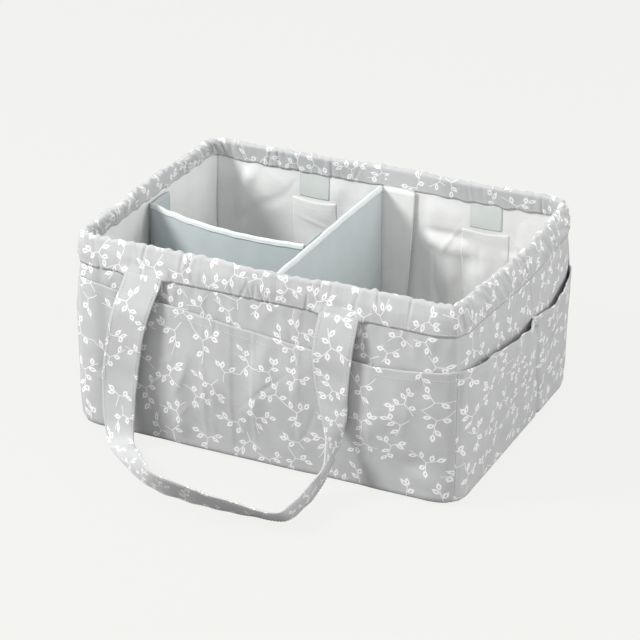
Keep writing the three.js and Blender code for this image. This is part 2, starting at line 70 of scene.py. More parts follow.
# %% Camera
CAMERA_PLACE = Vector((0.9109, -1.9227, 1.1026))
CAMERA_TARGET = Vector((-0.0196, 0.0273, 0.0692))
CAMERA_LENS = 142.1

camera = bpy.data.objects.new("camera", bpy.data.cameras.new("camera"))
bpy.context.scene.collection.objects.link(camera)
camera.data.sensor_width = 36
camera.data.lens = CAMERA_LENS
camera.data.clip_end = 50
camera.location = CAMERA_PLACE
camera.rotation_euler = (CAMERA_TARGET - CAMERA_PLACE).to_track_quat("-Z", "Y").to_euler()
bpy.context.scene.camera = camera
print("camera distance", round((CAMERA_TARGET - CAMERA_PLACE).length, 3))

# %% [markdown]
# ## The walls as one map
# Every wall layer follows the same plan: four straight runs joined by round corners. A point of a
# wall is named by its distance along the plan, its depth behind the outer face and its height. If
# all layers are made through one map, they bulge together and never cut each other.

# %% Sizes read from the frame
HALF_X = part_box("front_shell")[1].x
HALF_Y = -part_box("front_shell")[0].y
CORNER = HALF_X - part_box("front_board")[1].x
SEAM_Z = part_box("front_shell")[1].z
RIM_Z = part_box("rim_casing")[1].z
LINING_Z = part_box("lining_back")[1].z
FLOOR_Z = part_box("lining_floor")[1].z
FIT_GAP = 0.3 * MM
WALL = HALF_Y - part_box("back_patch_left")[1].y - FIT_GAP
STRAIGHT_X = 2 * (HALF_X - CORNER)
STRAIGHT_Y = 2 * (HALF_Y - CORNER)
ARC = math.pi / 2 * CORNER
LAP = 2 * (STRAIGHT_X + STRAIGHT_Y) + 4 * ARC
CORNER_AT = STRAIGHT_X / 2 + ARC / 2
RIGHT_AT = STRAIGHT_X / 2 + ARC + STRAIGHT_Y / 2
BACK_AT = LAP / 2
CORNERS = [CORNER_AT, -CORNER_AT, BACK_AT - CORNER_AT, BACK_AT + CORNER_AT]
STRAP_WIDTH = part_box("front_handle_tab_left")[1].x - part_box("front_handle_tab_left")[0].x
LEFT_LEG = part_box("front_handle_tab_left")[0].x + STRAP_WIDTH / 2
RIGHT_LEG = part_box("front_handle_tab_right")[0].x + STRAP_WIDTH / 2
LEG_MARKS = [LEFT_LEG, RIGHT_LEG, BACK_AT + LEFT_LEG, BACK_AT + RIGHT_LEG]
CROSS_AT = sum(corner.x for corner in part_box("cross_divider_back_flange")) / 2
LONG_AT = sum(corner.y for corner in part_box("long_divider_left_flange")) / 2
FLANGE_PLACES = [BACK_AT - CROSS_AT, CROSS_AT, -RIGHT_AT - LONG_AT]
print("lap of the wall in mm", round(LAP / MM))

# %% [markdown]
# ## Curves and waves
# Loose cotton is never smooth: it has broad soft waves and short creases. A cloth simulation could
# make them, and so could sculpting by hand. Here they are formulas with a fixed seed. Every run gives
# the same cloth, and each layer can be kept clear of the next.

# %% Curves and waves
RIPPLE_COUNT, PHASE_SPAN = 7, 7
RIPPLE_SPREAD, RIPPLE_SLANT = (0.5, 1.4), 1.2
CREASE_SIZES, CREASE_BREADTHS, CREASE_LENGTHS = (0.3, 1), (0.5, 1.5), (0.5, 1.4)
CREASE_BEND, CREASE_LEAN = 5, 0.6


def ease(low, high, value):
    """Smooth step from 0 at low to 1 at high."""
    share = np.clip((np.asarray(value, float) - low) / (high - low), 0, 1)
    return share * share * (3 - 2 * share)


def hump(value, width):
    """Bell curve of height 1."""
    return np.exp(-((np.asarray(value, float) / width) ** 2))


def away(distance, centre):
    """Signed distance round the lap from a place on it."""
    return np.mod(np.asarray(distance, float) - centre + LAP / 2, LAP) - LAP / 2


def near(distance, places, half, end):
    """1 within half of some places on the lap, falling to 0 at end."""
    return sum(1 - ease(half, end, np.abs(away(distance, place))) for place in places)


def ripples(distance, height, seed, wave):
    """Soft random waves of about unit height: a sum of slanted sines with whole numbers of waves
    round the lap, so that they close on themselves."""
    draw = np.random.default_rng(seed)
    total = 0
    for _ in range(RIPPLE_COUNT):
        count = round(LAP / wave * draw.uniform(*RIPPLE_SPREAD))
        turn = count * distance / LAP + draw.uniform(-RIPPLE_SLANT, RIPPLE_SLANT) / wave * height
        total = total + np.sin(2 * math.pi * turn + draw.uniform(0, PHASE_SPAN))
    return total / math.sqrt(RIPPLE_COUNT)


def wrinkles(distance, height, seed, count, reach, breadth):
    """Scattered creases of about unit height. Each is a ridge or a furrow on a slightly bent line: a
    bell curve across the line and a longer one along it."""
    draw = np.random.default_rng(seed)
    total = 0
    for _ in range(count):
        ahead = away(distance, draw.uniform(-LAP / 2, LAP / 2))
        up = height - draw.uniform(0, RIM_Z)
        slant = draw.normal(math.pi / 2, CREASE_LEAN)
        along = ahead * math.cos(slant) + up * math.sin(slant)
        bend = draw.uniform(-CREASE_BEND, CREASE_BEND)
        side = up * math.cos(slant) - ahead * math.sin(slant) - bend * along ** 2
        size = draw.uniform(*CREASE_SIZES) * draw.choice([-1, 1])
        across = hump(side, breadth * draw.uniform(*CREASE_BREADTHS))
        total = total + size * across * hump(along, reach * draw.uniform(*CREASE_LENGTHS))
    return total


crease_sample = wrinkles(np.linspace(-LAP / 2, LAP / 2, 500), RIM_Z / 2, 1, 40, 20 * MM, 3 * MM)
print("highest and lowest sample crease", round(crease_sample.max(), 2), round(crease_sample.min(), 2))

# %% [markdown]
# ## Soft form of the walls
# A padded wall bulges in its middle, pinches into a crease at its corners and rolls under at its foot.
# The loose right rim bows out and sags. A lattice modifier could bend boxes that way. A function of the
# place is plainer, because each layer can go through it with its own depth.

# %% Plan outline and soft form of the walls
def outline(distance):
    """Point and outward direction on the plan: straight runs and quarter circles, walked
    anticlockwise from the middle of the front wall."""
    lengths = np.array([STRAIGHT_X, STRAIGHT_Y, STRAIGHT_X, STRAIGHT_Y])
    reaches = np.array([HALF_Y, HALF_X, HALF_Y, HALF_X])
    starts = np.concatenate([[0], np.cumsum(lengths + ARC)[:-1]])
    walk = np.mod(np.asarray(distance, float) + STRAIGHT_X / 2, LAP)
    wall = np.searchsorted(starts, walk, side="right") - 1
    along = walk - starts[wall]
    angle = np.clip(along - lengths[wall], 0, ARC) / CORNER
    x = np.minimum(along, lengths[wall]) - lengths[wall] / 2 + CORNER * np.sin(angle)
    y = CORNER - reaches[wall] - CORNER * np.cos(angle)
    cos, sin = np.cos(wall * math.pi / 2), np.sin(wall * math.pi / 2)
    out_x, out_y = np.sin(angle), -np.cos(angle)
    points = np.stack([x * cos - y * sin, x * sin + y * cos], -1)
    outward = np.stack([out_x * cos - out_y * sin, out_x * sin + out_y * cos], -1)
    return points, outward


WALL_BULGE, CORNER_CALM = 4.2 * MM, 0.8 * ARC
RIGHT_BOW, BOW_AT, BOW_REACH, BOW_FOOT = 4.8 * MM, RIGHT_AT + 50 * MM, 0.5 * STRAIGHT_Y, 0.3 * RIM_Z
RIGHT_SAG, SAG_REACH, SAG_FOOT = 6.0 * MM, 0.38 * STRAIGHT_Y, 0.35 * RIM_Z
FOOT_RADIUS, CORNER_FOOT_RADIUS = 7 * MM, 9 * MM
CORNER_CREASE, CREASE_REACH = 8.0 * MM, 10 * MM
CREASE_LOSS, CREASE_FADES, CREASE_ENDS = 0.65, 0.6 * RIM_Z, 0.95 * RIM_Z
CREASE_START, CREASE_GAIN, CREASE_FULL = 0.7, 0.3, 30 * MM


def wall_point(distance, depth, height):
    """Point of the soft wall: the plan outline moved in by depth, with a bulge in the middle of each
    wall, a crease down each corner, the bow and sag of the right rim, and the round foot of a padded
    base."""
    whole = (np.asarray(a, float) for a in (distance, depth, height))
    distance, depth, height = np.broadcast_arrays(*whole)
    plan, outward = outline(distance)
    corner = np.clip(sum(hump(away(distance, place), CORNER_CALM) for place in CORNERS), 0, 1)
    bulge = WALL_BULGE * (1 - corner) * np.sin(math.pi * np.clip(height / SEAM_Z, 0, 1)) ** 2
    crease = sum(np.exp(-np.abs(away(distance, place)) / CREASE_REACH) for place in CORNERS)
    crease = CORNER_CREASE * crease * (1 - CREASE_LOSS * ease(CREASE_FADES, CREASE_ENDS, height))
    crease = crease * (CREASE_START + CREASE_GAIN * ease(0, CREASE_FULL, height))
    bow = RIGHT_BOW * hump(away(distance, BOW_AT), BOW_REACH) * ease(BOW_FOOT, RIM_Z, height)
    sag = RIGHT_SAG * hump(away(distance, RIGHT_AT), SAG_REACH) * ease(SAG_FOOT, RIM_Z, height)
    foot = FOOT_RADIUS + (CORNER_FOOT_RADIUS - FOOT_RADIUS) * corner
    low = np.clip(1 - height / foot, 0, 1)
    tuck = foot * (1 - np.sqrt(1 - low * low))
    move = bulge + crease + bow - tuck - depth
    flat = plan + outward * move[..., None]
    return np.concatenate([flat, (height - sag)[..., None]], -1)


front_middle = wall_point(np.zeros(1), 0, SEAM_Z / 2)[0]
print("bulge of the front wall in mm", round((-front_middle[1] - HALF_Y) / MM, 1))

# %% [markdown]
# ## From grids to meshes
# Cloth could be drawn face by face, but a grid of points can be worked out as whole arrays. The same
# grid gives the faces and a UV map measured in metres of cloth, so that a print keeps its scale on
# every piece.

# %% Mesh helpers
def link(name, mesh):
    """An object for a mesh, put into the scene."""
    made = bpy.data.objects.new(name, mesh)
    bpy.context.scene.collection.objects.link(made)
    return made


def cloth_grid(name, points, uv, closed=False, flip=False):
    """A mesh from a grid of points (rows, columns): one face for each cell, and the last column
    joined to the first if closed. uv has one column more than a closed grid."""
    rows, columns = points.shape[:2]
    row = np.arange(rows - 1)[:, None]
    column = np.arange(columns if closed else columns - 1)[None, :]
    after = (column + 1) % columns
    corners = [row * columns + column, row * columns + after, (row + 1) * columns + after,
               (row + 1) * columns + column]
    places = [uv[:-1, :-1], uv[:-1, 1:], uv[1:, 1:], uv[1:, :-1]]
    if flip:
        corners, places = corners[::-1], places[::-1]
    faces = np.stack(np.broadcast_arrays(*corners), -1).reshape(-1, 4)
    mesh = bpy.data.meshes.new(name)
    mesh.from_pydata(points.reshape(-1, 3).tolist(), [], faces.tolist())
    layer = mesh.uv_layers.new(name="cloth")
    layer.data.foreach_set("uv", np.stack(places, -2).reshape(-1).astype(np.float32))
    mesh.shade_smooth()
    return link(name, mesh)


def closed_sweep(name, points, uv):
    """A closed tube from rings of points (rings, spots), with a flat cap on each end. uv has one
    spot more than the rings."""
    rings, spots = points.shape[:2]
    swept = cloth_grid(name, points, uv, closed=True)
    mesh = swept.data
    made = [list(polygon.vertices) for polygon in mesh.polygons]
    corner_uv = np.zeros(len(mesh.loops) * 2, np.float32)
    mesh.uv_layers[0].data.foreach_get("uv", corner_uv)
    first = list(range(spots))[::-1]
    last = list(range((rings - 1) * spots, rings * spots))
    capped = bpy.data.meshes.new(name)
    capped.from_pydata(points.reshape(-1, 3).tolist(), [], made + [first, last])
    layer = capped.uv_layers.new(name="cloth")
    caps = np.concatenate([uv[0, :-1][::-1], uv[-1, :-1]]).reshape(-1)
    layer.data.foreach_set("uv", np.concatenate([corner_uv, caps]).astype(np.float32))
    capped.shade_smooth()
    swept.data = capped
    bpy.data.meshes.remove(mesh)
    return swept


def thicken(piece, thickness):
    """Gives a sheet its thickness, behind the face that was modelled."""
    solid = piece.modifiers.new("cloth thickness", "SOLIDIFY")
    solid.thickness = thickness
    solid.offset = -1
    return piece


def unit(vectors):
    """Vectors divided by their own lengths."""
    return vectors / np.maximum(np.linalg.norm(vectors, axis=-1, keepdims=True), 1e-12)


def normals_of(points):
    """Unit normals of a grid of points: along the columns crossed with along the rows."""
    return unit(np.cross(np.gradient(points, axis=1), np.gradient(points, axis=0)))


def length_along(path):
    """Length walked along a path, from 0 at its first point."""
    return np.concatenate([[0], np.cumsum(np.linalg.norm(np.diff(path, axis=0), axis=1))])


print("mesh makers", cloth_grid.__name__, closed_sweep.__name__)

# %% [markdown]
# ## Stitches
# A sewn edge shows as a row of short threads. A bump in the material could draw them, but a small bead
# for each stitch catches the light and stays in the mesh. A bead has only 17 faces, because there are
# thousands of them.

# %% Stitches
STITCH_PITCH, STITCH_LENGTH, STITCH_RADIUS = 3.2 * MM, 2.2 * MM, 0.28 * MM
STITCH_RISE, STITCH_DIP = 0.35, 0.8
RING_SHARES = np.array([-1, -0.55, 0.55, 1])
RING_SIZES = np.array([0.45, 1, 1, 0.45])
RING_SPOTS = 5


def stitches(name, path, normal):
    """A row of short threads on a path: at each pitch a small five-sided bead, with its ends sunk
    into the cloth and its middle proud of it."""
    walked = length_along(path)
    places = np.arange(STITCH_PITCH / 2, walked[-1] - STITCH_LENGTH / 2, STITCH_PITCH)

    def at(values, where):
        return np.stack([np.interp(where, walked, values[:, axis]) for axis in range(3)], -1)

    along = unit(at(path, places + STITCH_LENGTH / 2) - at(path, places - STITCH_LENGTH / 2))
    up = unit(at(normal, places))
    side = np.cross(up, along)
    turn = np.arange(RING_SPOTS) * 2 * math.pi / RING_SPOTS
    lift = STITCH_RADIUS * (STITCH_RISE - STITCH_DIP * RING_SHARES ** 2)
    reach = STITCH_LENGTH / 2 * RING_SHARES
    spread = STITCH_RADIUS * RING_SIZES[:, None] * np.cos(turn)
    rise = lift[:, None] + STITCH_RADIUS * RING_SIZES[:, None] * np.sin(turn)
    beads = at(path, places)[:, None, None] + along[:, None, None] * reach[None, :, None, None]
    beads = beads + side[:, None, None] * spread[None, :, :, None]
    beads = beads + up[:, None, None] * rise[None, :, :, None]
    rings = len(RING_SHARES)
    spot = np.arange(RING_SPOTS)
    after = (spot + 1) % RING_SPOTS
    ring = np.arange(rings - 1)[:, None] * RING_SPOTS
    corners = (ring + spot, ring + RING_SPOTS + spot, ring + RING_SPOTS + after, ring + after)
    quads = np.stack(np.broadcast_arrays(*corners), -1).reshape(-1, 4)
    base = np.arange(len(places))[:, None, None] * rings * RING_SPOTS
    caps = np.stack([spot, (rings - 1) * RING_SPOTS + spot[::-1]])
    sides = (quads[None] + base).reshape(-1, 4).tolist()
    ends = (caps[None] + base).reshape(-1, RING_SPOTS).tolist()
    mesh = bpy.data.meshes.new(name)
    mesh.from_pydata(beads.reshape(-1, 3).tolist(), [], sides + ends)
    mesh.shade_smooth()
    return link(name, mesh)


print("faces in a stitch", (len(RING_SHARES) - 1) * RING_SPOTS + 2)

# %% [markdown]
# ## Node trees in short words
# Two effects are shared by several cloths: the weave of cotton and the leaf print. Each is a node
# group. They could be wired by hand in the shader editor. A small helper that adds one node for each
# call lets the arithmetic read like arithmetic.

# %% Short words for node trees
class Sketch:
    """Adds nodes to a tree: each call makes one node and gives back an output."""

    def __init__(self, tree):
        self.tree = tree

    def node(self, kind, **settings):
        made = self.tree.nodes.new(kind)
        for key, value in settings.items():
            setattr(made, key, value)
        return made

    def feed(self, socket, value):
        if isinstance(value, bpy.types.NodeSocket):
            self.tree.links.new(value, socket)
        else:
            socket.default_value = value

    def math(self, operation, *values, clamp=False):
        made = self.node("ShaderNodeMath", operation=operation, use_clamp=clamp)
        for socket, value in zip(made.inputs, values):
            self.feed(socket, value)
        return made.outputs[0]

    def vector(self, operation, *values):
        made = self.node("ShaderNodeVectorMath", operation=operation)
        for socket, value in zip(made.inputs, values):
            self.feed(socket, value)
        return made.outputs["Vector"]

    def scaled(self, vector, size):
        made = self.node("ShaderNodeVectorMath", operation="SCALE")
        self.feed(made.inputs[0], vector)
        self.feed(made.inputs["Scale"], size)
        return made.outputs[0]

    def parts(self, vector):
        made = self.node("ShaderNodeSeparateXYZ")
        self.feed(made.inputs[0], vector)
        return made.outputs[0], made.outputs[1], made.outputs[2]

    def joined(self, x, y, z=0.0):
        made = self.node("ShaderNodeCombineXYZ")
        for socket, value in zip(made.inputs, (x, y, z)):
            self.feed(socket, value)
        return made.outputs[0]

    def mixed(self, share, first, second):
        made = self.node("ShaderNodeMix", data_type="RGBA")
        self.feed(made.inputs["Factor"], share)
        self.feed(made.inputs["A"], first)
        self.feed(made.inputs["B"], second)
        return made.outputs["Result"]

    def noise(self, vector, scale, detail=2.0, flat=False):
        made = self.node("ShaderNodeTexNoise", noise_dimensions="2D" if flat else "3D")
        self.feed(made.inputs["Vector"], vector)
        made.inputs["Scale"].default_value = scale
        made.inputs["Detail"].default_value = detail
        return made


def new_group(name, inputs, outputs):
    """An empty node group: its sketch, the sockets that come in and those that go out."""
    tree = bpy.data.node_groups.new(name, "ShaderNodeTree")
    for label, kind in inputs:
        tree.interface.new_socket(name=label, in_out="INPUT", socket_type=kind)
    for label, kind in outputs:
        tree.interface.new_socket(name=label, in_out="OUTPUT", socket_type=kind)
    sketch = Sketch(tree)
    return sketch, sketch.node("NodeGroupInput").outputs, sketch.node("NodeGroupOutput").inputs


print("node helper", Sketch.__name__)

# %% [markdown]
# ## Leaf print
# The grey cotton has a scattered white leaf print. An image could carry it, but arithmetic keeps it
# sharp at any distance. Cells scattered over the cloth each hold one sprig of three curved arms. Leaves
# sit on both sides of an arm in turn. A leaf is two arcs that meet in a point, with a small bare heart.
# One whose middle lies too near the edge of its cell is left out whole, so none is ever cut.

# %% Leaf print group, in millimetres
SPRIG_SPACING, SPRIG_SCATTER = 31.0, 0.7
ARM_COUNT = 3
ARM_SHORT, ARM_LONG = 13.0, 25.0
ARM_TRIES = (0.45, 0.72, 1.0)
ARM_BEND = 0.05
LEAF_PITCH = 5.0
LEAF_HALF_LENGTH, LEAF_HALF_WIDTH = 3.75, 2.35
HEART_HALF_LENGTH, HEART_HALF_WIDTH, HEART_SHIFT = 1.7, 0.8, -0.3
LEAF_POINT, POINT_START, POINT_HALF = 1.5, 1.0, 0.65
LEAF_ANGLE = math.radians(48)
FIRST_LEAF = 4.2
LAST_LEAF = 1.0
LEAF_STALK, STALK_OVERLAP = 0.8, 0.6
STEM_HALF = 0.45
SOFT_EDGE = 0.25
CELL_MARGIN = 3.3
WOBBLE, WOBBLE_SCALE = 6.0, 0.022


def leaf_print_group():
    """Mask of the print from a place on the cloth in metres."""
    sk, given, made = new_group(
        "leaf print", [("Cloth", "NodeSocketVector")], [("Print", "NodeSocketFloat")])
    flat = sk.vector("MULTIPLY", sk.scaled(given["Cloth"], 1 / MM), (1, 1, 0))
    drift = sk.noise(flat, WOBBLE_SCALE, 0, flat=True).outputs["Color"]
    wander = sk.vector("SUBTRACT", drift, (0.5, 0.5, 0.5))
    place = sk.vector("ADD", flat, sk.vector("MULTIPLY", sk.scaled(wander, WOBBLE), (1, 1, 0)))

    def cells(vector, feature):
        scattered = sk.node("ShaderNodeTexVoronoi", voronoi_dimensions="2D", feature=feature)
        sk.feed(scattered.inputs["Vector"], vector)
        scattered.inputs["Scale"].default_value = 1 / SPRIG_SPACING
        scattered.inputs["Randomness"].default_value = SPRIG_SCATTER
        return scattered.outputs

    def turned(forward, sideways, cos, sin):
        """A vector's parts after a turn: along the heading and to its left."""
        along = sk.math("ADD", sk.math("MULTIPLY", forward, cos), sk.math("MULTIPLY", sideways, sin))
        left = sk.math("SUBTRACT", sk.math("MULTIPLY", sideways, cos), sk.math("MULTIPLY", forward, sin))
        return along, left

    def filled(edge, distance):
        """1 where a distance is less than an edge, with a soft border."""
        return sk.math("DIVIDE", sk.math("SUBTRACT", edge, distance), SOFT_EDGE, clamp=True)

    def keep(*masks):
        product = masks[0]
        for mask in masks[1:]:
            product = sk.math("MULTIPLY", product, mask)
        return product

    cell = cells(place, "F1")
    chance_x, chance_y, chance_z = sk.parts(cell["Color"])
    x, y, _ = sk.parts(sk.vector("SUBTRACT", place, cell["Position"]))
    start = sk.math("MULTIPLY", chance_x, 2 * math.pi)
    sector = 2 * math.pi / ARM_COUNT
    angle = sk.math("SUBTRACT", sk.math("ARCTAN2", y, x), start)
    arm = sk.math("FLOOR", sk.math("ADD", sk.math("DIVIDE", angle, sector), 0.5))
    heading = sk.math("ADD", start, sk.math("MULTIPLY", arm, sector))
    cos, sin = sk.math("COSINE", heading), sk.math("SINE", heading)
    dice = sk.node("ShaderNodeTexWhiteNoise", noise_dimensions="3D")
    which = sk.math("FLOORED_MODULO", arm, float(ARM_COUNT))
    sk.feed(dice.inputs["Vector"], sk.joined(chance_y, chance_z, which))
    bend_chance, length_chance, side_chance = sk.parts(dice.outputs["Color"])
    bend = sk.math("MULTIPLY", sk.math("SUBTRACT", bend_chance, 0.5), ARM_BEND)
    longest = sk.math("MULTIPLY_ADD", length_chance, ARM_LONG - ARM_SHORT, ARM_SHORT)
    ahead, across = turned(x, y, cos, sin)
    offset = sk.math("SUBTRACT", across, sk.math("MULTIPLY", bend, sk.math("MULTIPLY", ahead, ahead)))

    def leaf(forward, sideways, turn, clear):
        """Two arcs of half width w times 1 - (u / half length)^2, less a small heart, with a point and
        a stalk at the ends."""
        along, left = turned(forward, sideways, math.cos(turn), math.sin(turn))
        out = sk.math("ABSOLUTE", left)

        def blade(half_length, half_width, shift):
            share = sk.math("DIVIDE", sk.math("SUBTRACT", along, shift), half_length)
            edge = sk.math("SUBTRACT", 1.0, sk.math("MULTIPLY", share, share))
            return filled(sk.math("MULTIPLY", edge, half_width), out)

        heart = blade(HEART_HALF_LENGTH, HEART_HALF_WIDTH, HEART_SHIFT)
        body = keep(blade(LEAF_HALF_LENGTH, LEAF_HALF_WIDTH, 0.0), sk.math("SUBTRACT", 1.0, heart))
        tip = sk.math("SUBTRACT", LEAF_HALF_LENGTH + LEAF_POINT, along)
        taper = sk.math("MULTIPLY", tip, POINT_HALF / (LEAF_POINT + POINT_START))
        point = keep(filled(taper, out), sk.math("GREATER_THAN", along, LEAF_HALF_LENGTH - POINT_START))
        stalk = keep(filled(STEM_HALF, out), sk.math("LESS_THAN", along, -LEAF_HALF_LENGTH),
                     sk.math("GREATER_THAN", along, -LEAF_HALF_LENGTH - LEAF_STALK - STALK_OVERLAP))
        return keep(sk.math("MAXIMUM", sk.math("MAXIMUM", body, point), stalk), clear)

    def clear_of_edge(forward, sideways):
        """1 where a leaf's middle, given on the arm, lies well inside its cell."""
        bowed = sk.math("MULTIPLY_ADD", bend, sk.math("MULTIPLY", forward, forward), sideways)
        spot = sk.joined(
            sk.math("SUBTRACT", sk.math("MULTIPLY", forward, cos), sk.math("MULTIPLY", bowed, sin)),
            sk.math("ADD", sk.math("MULTIPLY", forward, sin), sk.math("MULTIPLY", bowed, cos)))
        edge = cells(sk.vector("ADD", cell["Position"], spot), "DISTANCE_TO_EDGE")["Distance"]
        return sk.math("GREATER_THAN", edge, CELL_MARGIN / SPRIG_SPACING)

    length = sk.math("MULTIPLY", longest, ARM_TRIES[0])
    for share in ARM_TRIES[1:]:
        tried = sk.math("MULTIPLY", longest, share)
        fits = clear_of_edge(sk.math("ADD", tried, LEAF_HALF_LENGTH), 0.0)
        length = sk.math("MULTIPLY_ADD", fits, sk.math("SUBTRACT", tried, length), length)
    reach = LEAF_HALF_LENGTH + LEAF_STALK
    centre_ahead, centre_out = reach * math.cos(LEAF_ANGLE), reach * math.sin(LEAF_ANGLE)
    below = sk.math("LESS_THAN", offset, 0.0)
    parity = sk.math("FLOORED_MODULO", sk.math("ADD", below, sk.math("ROUND", side_chance)), 2.0)
    order = sk.math("DIVIDE", sk.math("SUBTRACT", ahead, FIRST_LEAF + centre_ahead), LEAF_PITCH)
    pair = sk.math("MULTIPLY", sk.math("SUBTRACT", order, parity), 0.5)
    count = sk.math("MULTIPLY_ADD", sk.math("FLOOR", sk.math("ADD", pair, 0.5)), 2.0, parity)
    root = sk.math("MULTIPLY_ADD", sk.math("MAXIMUM", count, parity), LEAF_PITCH, FIRST_LEAF)
    middle = sk.math("ADD", root, centre_ahead)
    side = sk.math("MULTIPLY_ADD", below, -2.0, 1.0)
    inside = clear_of_edge(middle, sk.math("MULTIPLY", side, centre_out))
    on_arm = sk.math("LESS_THAN", root, sk.math("SUBTRACT", length, LAST_LEAF))
    beside = sk.math("SUBTRACT", sk.math("ABSOLUTE", offset), centre_out)
    side_leaf = leaf(sk.math("SUBTRACT", ahead, middle), beside, LEAF_ANGLE, keep(inside, on_arm))
    tip = sk.math("ADD", length, LEAF_HALF_LENGTH)
    tip_leaf = leaf(sk.math("SUBTRACT", ahead, tip), offset, 0.0, clear_of_edge(tip, 0.0))
    stem = keep(filled(STEM_HALF, sk.math("ABSOLUTE", offset)), sk.math("LESS_THAN", ahead, length))
    sk.feed(made["Print"], sk.math("MAXIMUM", sk.math("MAXIMUM", side_leaf, tip_leaf), stem))
    return sk.tree


LEAF_PRINT = leaf_print_group()
print("leaf print nodes", len(LEAF_PRINT.nodes))

# %% [markdown]
# ## Plain weave
# All the cloth here is plain woven cotton. Real threads would be millions of faces, so sines stand for
# the threads and slow noise for the uneven dye and the limp surface. The group gives a shade and a
# height, and each material takes its own thread count. The shade is the uneven dye together with a
# painted shade of the weave, darker in the gaps between the threads.

# %% Weave and mottling group
SLUB_STRETCH = (60.0, 900.0, 1.0)
CLOUD_SCALE, CRUSH_SCALE = 38.0, 110.0
CLOUD_SHADE, SLUB_SHADE, WEAVE_PAINTED_SHADE = 0.14, 0.1, 0.1
WEAVE_MEAN, WEAVE_RELIEF = 0.6, 0.12


def cotton_group():
    """Plain weave from a place on the cloth in metres: threads over and under give a height and a
    faint painted shade, darker in the gaps between threads, and slow noise gives the uneven dye and the
    limp surface."""
    sk, given, made = new_group(
        "cotton", [("Cloth", "NodeSocketVector"), ("Threads", "NodeSocketFloat")],
        [("Shade", "NodeSocketFloat"), ("Height", "NodeSocketFloat")])
    place = given["Cloth"]
    x, y, _ = sk.parts(sk.scaled(place, sk.math("MULTIPLY", given["Threads"], math.pi)))
    warp = sk.math("ABSOLUTE", sk.math("SINE", x))
    weft = sk.math("ABSOLUTE", sk.math("SINE", y))
    parity = sk.math("MULTIPLY", sk.math("SINE", sk.math("MULTIPLY", x, 0.5)),
                     sk.math("SINE", sk.math("MULTIPLY", y, 0.5)))
    over = sk.math("GREATER_THAN", parity, 0.0)
    weave = sk.math("ADD", sk.math("MULTIPLY", warp, over),
                    sk.math("MULTIPLY", weft, sk.math("SUBTRACT", 1.0, over)))
    slub = sk.noise(sk.vector("MULTIPLY", place, SLUB_STRETCH), 1.0, 2.0).outputs["Fac"]
    cloud = sk.noise(place, CLOUD_SCALE, 3.0).outputs["Fac"]
    crush = sk.noise(place, CRUSH_SCALE, 3.0).outputs["Fac"]
    slow = sk.math("MULTIPLY_ADD", sk.math("SUBTRACT", cloud, 0.5), CLOUD_SHADE,
                   sk.math("MULTIPLY", sk.math("SUBTRACT", slub, 0.5), SLUB_SHADE))
    # painted shade of the weave: colour a little darker in the gaps between threads, lighter on their
    # crowns
    fine = sk.math("MULTIPLY", sk.math("SUBTRACT", weave, WEAVE_MEAN), WEAVE_PAINTED_SHADE)
    sk.feed(made["Shade"], sk.math("ADD", sk.math("ADD", slow, fine), 1.0))
    sk.feed(made["Height"], sk.math("MULTIPLY_ADD", weave, WEAVE_RELIEF, crush))
    return sk.tree


COTTON = cotton_group()
print("cotton nodes", len(COTTON.nodes))

# %% [markdown]
# ## The materials
# Printed cotton, plain lining, mint covers, tape, loop patches, thread and board need one shader each.
# Colours are written as they look in soft daylight. The cloth shader has a little sheen, because fine
# fibre ends catch light at a glancing angle. What has no weave gets noise on Object coordinates, which
# need no UV map.

# %% Material makers
SPECULAR_LEVEL, SHEEN_ROUGHNESS, RELIEF_STRENGTH = 0.25, 0.5, 0.5
COTTON_ROUGHNESS, COTTON_SHEEN = 0.85, 0.12


def shader_of(name, roughness, sheen=0.0):
    """A new material with its sketch and its shader, soft and hardly shiny."""
    material = bpy.data.materials.new(name)
    material.use_nodes = True
    shader = material.node_tree.nodes["Principled BSDF"]
    shader.inputs["Roughness"].default_value = roughness
    shader.inputs["Specular IOR Level"].default_value = SPECULAR_LEVEL
    shader.inputs["Sheen Weight"].default_value = sheen
    shader.inputs["Sheen Roughness"].default_value = SHEEN_ROUGHNESS
    return material, Sketch(material.node_tree), shader


def raise_relief(sk, shader, height, distance):
    """Lets a height tilt the shading, as deep as distance."""
    relief = sk.node("ShaderNodeBump")
    relief.inputs["Strength"].default_value = RELIEF_STRENGTH
    relief.inputs["Distance"].default_value = distance
    sk.feed(relief.inputs["Height"], height)
    sk.feed(shader.inputs["Normal"], relief.outputs["Normal"])


def cotton(name, colour, threads_per_metre, relief, print_colour=None):
    """Woven cotton on the piece's own UV map, with the leaf print if a print colour is given."""
    material, sk, shader = shader_of(name, COTTON_ROUGHNESS, sheen=COTTON_SHEEN)
    place = sk.node("ShaderNodeUVMap", uv_map="cloth").outputs["UV"]
    woven = sk.node("ShaderNodeGroup", node_tree=COTTON)
    sk.feed(woven.inputs["Cloth"], place)
    woven.inputs["Threads"].default_value = threads_per_metre
    # the colour is multiplied by the uneven dye and by the weave's painted shade
    dyed_and_shaded = sk.scaled(colour, woven.outputs["Shade"])
    if print_colour is not None:
        printed = sk.node("ShaderNodeGroup", node_tree=LEAF_PRINT)
        sk.feed(printed.inputs["Cloth"], place)
        dyed_and_shaded = sk.mixed(printed.outputs["Print"], dyed_and_shaded, print_colour)
    sk.feed(shader.inputs["Base Color"], dyed_and_shaded)
    raise_relief(sk, shader, woven.outputs["Height"], relief)
    return material


def plain_stuff(name, colour, roughness, scale, contrast, relief):
    """A surface without a weave, mottled by noise on Object coordinates."""
    material, sk, shader = shader_of(name, roughness)
    grain = sk.noise(sk.node("ShaderNodeTexCoord").outputs["Object"], scale, 4.0).outputs["Fac"]
    shade = sk.math("MULTIPLY_ADD", sk.math("SUBTRACT", grain, 0.5), contrast, 1.0)
    sk.feed(shader.inputs["Base Color"], sk.scaled(colour, shade))
    raise_relief(sk, shader, grain, relief)
    return material


